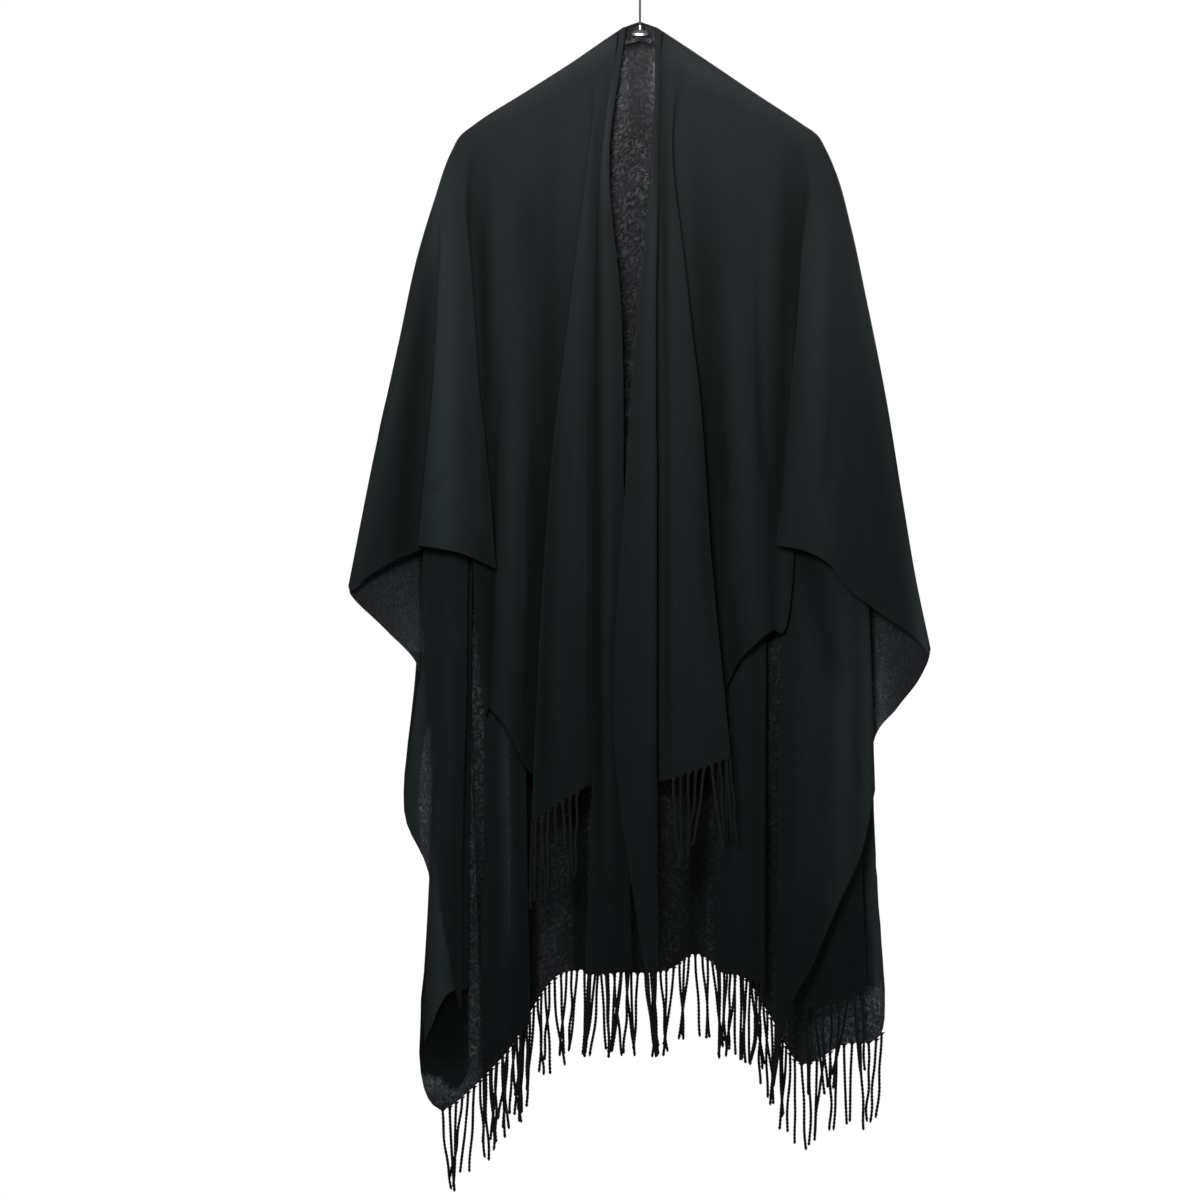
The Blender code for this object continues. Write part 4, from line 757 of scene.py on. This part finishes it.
def strand_rings(side, path, pitch, turn):
    """Rings round one strand: gathered flat at the hem, then a two-ply twist."""
    lengths = lengths_along(path)
    rings = []
    for i, centre in enumerate(path):
        ahead = path[min(i + 1, len(path) - 1)] - path[max(i - 1, 0)]
        ahead /= np.linalg.norm(ahead)
        across = side - ahead * np.dot(side, ahead)
        across /= np.linalg.norm(across)
        depth = np.cross(ahead, across)
        gone = lengths[i]
        reach = max(1.0 - gone / ARCH_HEIGHT, 0.0)
        spread = (pitch / 2 - STRAND_RADIUS) * (1.0 - math.sqrt(1.0 - reach ** 2))
        flat = 1.0 - 0.28 * smooth_step(reach)
        tip = smooth_step((gone / lengths[-1] - 0.955) / 0.045)
        width = STRAND_RADIUS * (1.0 + 0.22 * tip - 0.7 * smooth_step((tip - 0.6) / 0.4))
        for corner in range(STRAND_SIDES):
            angle = 2 * math.pi * corner / STRAND_SIDES
            ply = 1.0 + PLY_DEPTH * math.cos(2 * (angle - turn - 2 * math.pi * gone / TWIST_PITCH))
            ply = 1.0 + (ply - 1.0) * (1.0 - reach)
            rings.append(centre + across * math.cos(angle) * (width * ply + spread)
                         + depth * math.sin(angle) * width * ply * flat)
    return rings


def fringe_piece(panel, points, normals, places, material):
    """All strands under one hem in one mesh."""
    node = "fringe_" + panel.node.replace("_fold", "")
    draw = random.Random(STRAND_SEED + list(HEMS).index(panel.node))
    roots, pitch = strand_roots(panel, points, normals, places)
    vertices, faces, tints = [], [], []
    around = [(a, (a + 1) % STRAND_SIDES) for a in range(STRAND_SIDES)]
    for root, shift in zip(roots, strand_tips(len(roots), pitch, draw)):
        length = STRAND_LENGTH * draw.uniform(0.93, 1.07)
        path = strand_path(root, shift, draw.uniform(-TIP_SAG, TIP_SAG), length, draw)
        start = len(vertices)
        vertices += strand_rings(root[3], path, pitch, draw.uniform(0.0, math.pi))
        tints += [draw.random()] * (len(vertices) - start)
        end = len(vertices) - STRAND_SIDES
        for low in range(start, end, STRAND_SIDES):
            high = low + STRAND_SIDES
            faces += [(low + a, high + a, high + b, low + b) for a, b in around]
        faces.append(tuple(range(start, start + STRAND_SIDES)))
        faces.append(tuple(reversed(range(end, end + STRAND_SIDES))))
    mesh = smooth_mesh("yarn_" + node, [tuple(v) for v in vertices], faces)
    put_values(mesh, "tint", np.array(tints))
    piece = add_piece(mesh, [material])
    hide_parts(node)
    return piece


# ---- materials ----
PAINTED_LIGHT_LIMIT = 2.2                    # how many times twice as pale or dark the painted light and shade may make the cloth


class Graph:
    """Node graph of one material."""

    def __init__(self, name):
        self.material = bpy.data.materials.new(name)
        self.material.use_nodes = True
        self.tree = self.material.node_tree
        self.shader = self.tree.nodes["Principled BSDF"]

    def plug(self, socket, value):
        """Link an input to a node's output, or set its value."""
        if isinstance(value, bpy.types.NodeSocket):
            self.tree.links.new(value, socket)
        else:
            socket.default_value = value

    def node(self, kind, settings=None, **inputs):
        """New node; an input is named, or numbered as in _0."""
        made = self.tree.nodes.new(kind)
        for name, value in (settings or {}).items():
            setattr(made, name, value)
        for name, value in inputs.items():
            numbered = name[0] == "_" and name[1:].isdigit()
            self.plug(made.inputs[int(name[1:]) if numbered else name.replace("_", " ")], value)
        return made

    def set(self, **inputs):
        for name, value in inputs.items():
            self.plug(self.shader.inputs[name.replace("_", " ")], value)

    def attribute(self, name):
        return self.node("ShaderNodeAttribute", {"attribute_name": name}).outputs["Fac"]

    def coordinates(self, source, scale=(1.0, 1.0, 1.0)):
        """Cloth or object coordinates in metres, stretched by a scale."""
        place = self.node("ShaderNodeTexCoord").outputs[source]
        return self.node("ShaderNodeMapping", Vector=place, Scale=scale).outputs["Vector"]

    def noise(self, place, scale, detail=2.0, roughness=0.5, distortion=0.0):
        return self.node("ShaderNodeTexNoise", Vector=place, Scale=scale, Detail=detail,
                         Roughness=roughness, Distortion=distortion).outputs["Fac"]

    def ramp(self, factor, low, high, start=0.0, end=1.0):
        """Map a factor from low..high to start..end, smoothly and clamped."""
        return self.node("ShaderNodeMapRange", {"interpolation_type": "SMOOTHSTEP"}, _0=factor, _1=low,
                         _2=high, _3=start, _4=end).outputs[0]

    def math(self, operation, a, b):
        return self.node("ShaderNodeMath", {"operation": operation}, _0=a, _1=b).outputs[0]

    def mix(self, factor, a, b):
        """Blend of two colours."""
        made = self.node("ShaderNodeMix", {"data_type": "RGBA"}, _0=factor)
        for number, value in ((6, a), (7, b)):
            self.plug(made.inputs[number], (*value, 1.0) if isinstance(value, tuple) else value)
        return made.outputs[2]

    def painted_light_and_shade(self, shade, hollow, ridge):
        """Painted shade, darker in the folds' hollows; painted highlight, paler on their ridges; and
        painted light and shade, as pale or dark as the table gives.
        """
        proud = self.attribute("relief")
        # painted shade towards the hollow colour where the relief sinks, painted highlight towards the
        # ridge colour where it stands out
        shade = self.mix(self.ramp(proud, 0.0, -0.9, 0.0, 0.85), shade, hollow)
        shade = self.mix(self.ramp(proud, 0.0, 0.9, 0.0, 0.20), shade, ridge)
        # painted light and shade: the colour is scaled by two to the power of the table's value
        level = self.node("ShaderNodeMapRange", _0=self.attribute("nap_and_painted_light"), _1=-PAINTED_LIGHT_LIMIT,
                          _2=PAINTED_LIGHT_LIMIT, _3=-PAINTED_LIGHT_LIMIT, _4=PAINTED_LIGHT_LIMIT).outputs[0]
        return self.node("ShaderNodeVectorMath", {"operation": "SCALE"}, _0=shade,
                         Scale=self.math("POWER", 2.0, level)).outputs[0]

    def bump(self, height, distance, strength):
        return self.node("ShaderNodeBump", Height=height, Distance=distance,
                         Strength=strength).outputs["Normal"]


def plain_shade(g, even):
    """Colour of brushed charcoal wool with painted shade and light, and the height of its combed fibres and
    fine twill.
    """
    combed = g.coordinates("UV", (1.0, 0.30, 1.0))
    fibre = g.noise(combed, 1300.0, 3.0, 0.6, 0.4)
    patch = g.noise(even, 30.0, 3.0, 0.55)
    rib = g.node("ShaderNodeTexWave", {"bands_direction": "DIAGONAL"}, Vector=even, Scale=105.0,
                 Distortion=1.4, Detail=2.0, Detail_Scale=2.0).outputs["Fac"]
    shade = g.mix(g.ramp(fibre, 0.3, 0.75), (0.0066, 0.0092, 0.0098), (0.0142, 0.0195, 0.0206))
    shade = g.mix(g.ramp(patch, 0.35, 0.7, 0.0, 0.30), shade, (0.0074, 0.0103, 0.0109))
    # painted shade colour for hollows and painted highlight colour for ridges
    shade = g.painted_light_and_shade(shade, (0.0019, 0.0028, 0.0030), (0.0180, 0.0245, 0.0256))
    return shade, g.math("ADD", g.math("MULTIPLY", fibre, 0.8), g.math("MULTIPLY", rib, 0.30))


def speckled_shade(g, even):
    """Colour of the mottled face: dark wool, pale curled threads and bluish clouds, with painted shade and
    light.
    """
    curl = g.noise(even, 105.0, 1.5, 0.5, 1.5)
    away = g.node("ShaderNodeMath", {"operation": "ABSOLUTE"}, _0=g.math("SUBTRACT", curl, 0.5)).outputs[0]
    thread = g.ramp(away, 0.085, 0.030)
    grain = g.noise(even, 210.0, 2.0, 0.6)
    spot = g.math("MULTIPLY", thread, g.ramp(grain, 0.42, 0.54))
    cloud = g.noise(even, 45.0, 2.0, 0.6)
    spot = g.math("MULTIPLY", spot, g.ramp(cloud, 0.36, 0.56, 0.15, 1.0))
    blue = g.ramp(g.noise(even, 36.0, 2.0, 0.5), 0.50, 0.62)
    ground = g.mix(g.ramp(grain, 0.3, 0.7), (0.0102, 0.0122, 0.0130), (0.0245, 0.0278, 0.0298))
    ground = g.mix(g.math("MULTIPLY", blue, 0.60), ground, (0.0230, 0.0240, 0.0390))
    shade = g.mix(spot, ground, (0.070, 0.080, 0.085))
    # painted shade colour for hollows and painted highlight colour for ridges
    shade = g.painted_light_and_shade(shade, (0.0050, 0.0060, 0.0062), (0.0400, 0.0450, 0.0480))
    return shade, g.math("ADD", spot, g.math("MULTIPLY", grain, 0.6))


def wool(name, outside, sheen):
    """Double-faced wool: one face plain, the other speckled; a turned edge shows the other."""
    g = Graph(name)
    even = g.coordinates("UV")
    plain, combed = plain_shade(g, even)
    speckled, looped = speckled_shade(g, even)
    other = g.ramp(g.attribute("other"), 0.25, 0.75)
    share = other if outside else g.math("SUBTRACT", 1.0, other)
    height = g.math("ADD", g.math("MULTIPLY", combed, g.math("SUBTRACT", 1.0, share)),
                    g.math("MULTIPLY", looped, g.math("MULTIPLY", share, 2.0)))
    g.set(Base_Color=g.mix(share, plain, speckled), Roughness=0.92, Specular_IOR_Level=0.14,
          Sheen_Weight=sheen, Sheen_Roughness=0.7, Sheen_Tint=(0.60, 0.72, 0.76, 1.0),
          Normal=g.bump(height, 0.0004, 0.8))
    return g.material


def fringe_yarn():
    """Twisted wool yarn; each strand is a little darker or lighter than the next."""
    g = Graph("fringe_yarn")
    fibre = g.noise(g.coordinates("Object"), 1300.0, 3.0, 0.6)
    shade = g.mix(g.ramp(fibre, 0.3, 0.7), (0.0095, 0.0120, 0.0128), (0.0250, 0.0300, 0.0320))
    shade = g.mix(g.math("MULTIPLY", g.attribute("tint"), 0.45), shade, (0.0070, 0.0082, 0.0090))
    g.set(Base_Color=shade, Roughness=0.92, Specular_IOR_Level=0.14, Sheen_Weight=0.06,
          Sheen_Roughness=0.5, Sheen_Tint=(0.66, 0.72, 0.76, 1.0), Normal=g.bump(fibre, 0.0003, 0.8))
    return g.material


def metal(name, color, roughness):
    """Metal with faint smears in its gloss."""
    g = Graph(name)
    wear = g.noise(g.coordinates("Object"), 420.0, 4.0, 0.6)
    g.set(Base_Color=g.mix(g.ramp(wear, 0.3, 0.7), color, tuple(c * 0.86 for c in color)),
          Metallic=1.0, Roughness=g.ramp(wear, 0.3, 0.7, roughness, roughness + 0.09),
          Normal=g.bump(wear, 0.00004, 0.5))
    return g.material


def hanger():
    """Looks of the hanger's solids: dark flocked arms, and a bright hook in a silver cap."""
    flock = Graph("hanger_flock")
    mottle, nap_and_painted_light = speckled_shade(flock, flock.coordinates("Object"))
    flock.set(Base_Color=mottle, Roughness=0.95, Specular_IOR_Level=0.1,
              Normal=flock.bump(nap_and_painted_light, 0.0002, 0.6))
    for node, material in (("hanger_arms", flock.material),
                           ("hook", metal("hook_chrome", (0.62, 0.62, 0.63), 0.14)),
                           ("hook_cap", metal("cap_silver", (0.50, 0.50, 0.51), 0.26))):
        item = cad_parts[node]
        item.data.materials.clear()
        item.data.materials.append(material)


# ---- studio ----
FLOOR_Z = -1.62
FLOOR_RADIUS = 30.0
FLOOR_SIDES = 96
FLOOR_FADE = (1.2, 2.2)            # metres from the middle over which the floor turns white
WORLD_LIGHT = 0.16                 # how bright the white surroundings are on the cloth
Light = namedtuple("Light", "name place aim size spread power color")
LIGHTS = (
    Light("key", (-0.30, -2.6, -0.15), (0.0, 0.0, -0.05), 0.5, 56.0, 5.6, (1.0, 0.97, 0.96)),
    Light("crown", (-0.20, -2.6, 0.40), (0.0, 0.0, 0.02), 0.4, 22.0, 1.0, (1.0, 0.79, 0.80)),
    Light("rear", (0.9, 2.3, 0.60), (0.0, 0.0, -0.35), 0.8, 64.0, 20.0, (1.0, 0.97, 0.96)),
)
VIEW_DISTANCE = 7.0
FRAME_HEIGHT = 12.0 / 9.0          # metres that the picture spans at the hanger: 9 px a cm
VIEW_X = -0.0444                   # the picture's middle, 40 px left of the hook
VIEW_Z = NECK_Z - 0.6422           # and 578 px below the neck
SENSOR = 36.0


def seen_white(tree, shader, strength):
    """White to the camera, and only as bright as strength to the poncho."""
    path = tree.nodes.new("ShaderNodeLightPath")
    level = tree.nodes.new("ShaderNodeMapRange")
    level.inputs["To Min"].default_value = strength
    level.inputs["To Max"].default_value = 1.0
    tree.links.new(path.outputs["Is Camera Ray"], level.inputs["Value"])
    tree.links.new(level.outputs["Result"], shader.inputs["Strength"])


def floor():
    """Pale, round, seamless floor: paper near the middle, fading into the white beyond."""
    mesh = bpy.data.meshes.new("floor")
    turns = [2 * math.pi * k / FLOOR_SIDES for k in range(FLOOR_SIDES)]
    mesh.from_pydata([(FLOOR_RADIUS * math.cos(turn), FLOOR_RADIUS * math.sin(turn), FLOOR_Z)
                      for turn in turns], [], [tuple(range(FLOOR_SIDES))])
    item = bpy.data.objects.new("floor", mesh)
    bpy.context.scene.collection.objects.link(item)
    g = Graph("floor_paper")
    place = g.node("ShaderNodeTexCoord").outputs["Object"]
    g.set(Base_Color=g.mix(g.noise(place, 60.0, 3.0), (0.86, 0.86, 0.86), (0.90, 0.90, 0.90)),
          Roughness=0.8)
    glow = g.node("ShaderNodeEmission", Color=(1.0, 1.0, 1.0, 1.0))
    seen_white(g.tree, glow, WORLD_LIGHT)
    far = g.node("ShaderNodeVectorMath", {"operation": "LENGTH"}, _0=place).outputs["Value"]
    blend = g.node("ShaderNodeMixShader", Fac=g.ramp(far, *FLOOR_FADE), _1=g.shader.outputs[0],
                   _2=glow.outputs[0])
    g.plug(g.tree.nodes["Material Output"].inputs["Surface"], blend.outputs[0])
    mesh.materials.append(g.material)


def area_light(each):
    """Square light at its place, turned to what it is aimed at."""
    light = bpy.data.lights.new(each.name, "AREA")
    light.shape = "SQUARE"
    light.size = each.size
    light.spread = math.radians(each.spread)
    light.energy = each.power
    light.color = each.color
    item = bpy.data.objects.new(each.name, light)
    item.location = each.place
    item.rotation_mode = "QUATERNION"
    item.rotation_quaternion = (Vector(each.aim) - Vector(each.place)).to_track_quat("-Z", "Y")
    item.visible_camera = False
    bpy.context.scene.collection.objects.link(item)


def studio():
    """White surroundings, two soft lights in front and one behind."""
    world = bpy.data.worlds.new("studio")
    world.use_nodes = True
    back = world.node_tree.nodes["Background"]
    back.inputs["Color"].default_value = (1.0, 1.0, 1.0, 1.0)
    seen_white(world.node_tree, back, WORLD_LIGHT)
    scene = bpy.context.scene
    scene.world = world
    scene.view_settings.view_transform = "Standard"
    for light in LIGHTS:
        area_light(light)


def camera():
    """Camera at the photograph's height and framing, looking along +Y."""
    data = bpy.data.cameras.new("camera")
    data.sensor_width = SENSOR
    data.lens = SENSOR * VIEW_DISTANCE / FRAME_HEIGHT
    item = bpy.data.objects.new("camera", data)
    item.location = (VIEW_X, -VIEW_DISTANCE, VIEW_Z)
    item.rotation_euler = (math.radians(90.0), 0.0, 0.0)
    bpy.context.scene.collection.objects.link(item)
    bpy.context.scene.camera = item


# ---- build ----
def poncho():
    """All the cloth and its fringe."""
    faces = (wool("plain_wool", True, 0.05), wool("speckled_wool", False, 0.05),
             wool("wool_edge", True, 0.0))
    yarn = fringe_yarn()
    for panel in PANELS:
        piece, points, normals, places = cloth_piece(panel, faces)
        fringed = panel.node in HEMS
        hung = [fringe_piece(panel, points, normals, places, yarn)] if fringed else []


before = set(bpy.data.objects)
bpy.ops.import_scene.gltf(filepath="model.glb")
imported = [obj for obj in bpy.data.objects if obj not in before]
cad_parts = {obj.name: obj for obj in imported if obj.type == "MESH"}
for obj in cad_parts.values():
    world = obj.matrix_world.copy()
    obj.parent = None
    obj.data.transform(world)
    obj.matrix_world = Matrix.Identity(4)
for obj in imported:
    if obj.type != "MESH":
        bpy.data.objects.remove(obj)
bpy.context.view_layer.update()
camera()
floor()
studio()
hanger()
poncho()
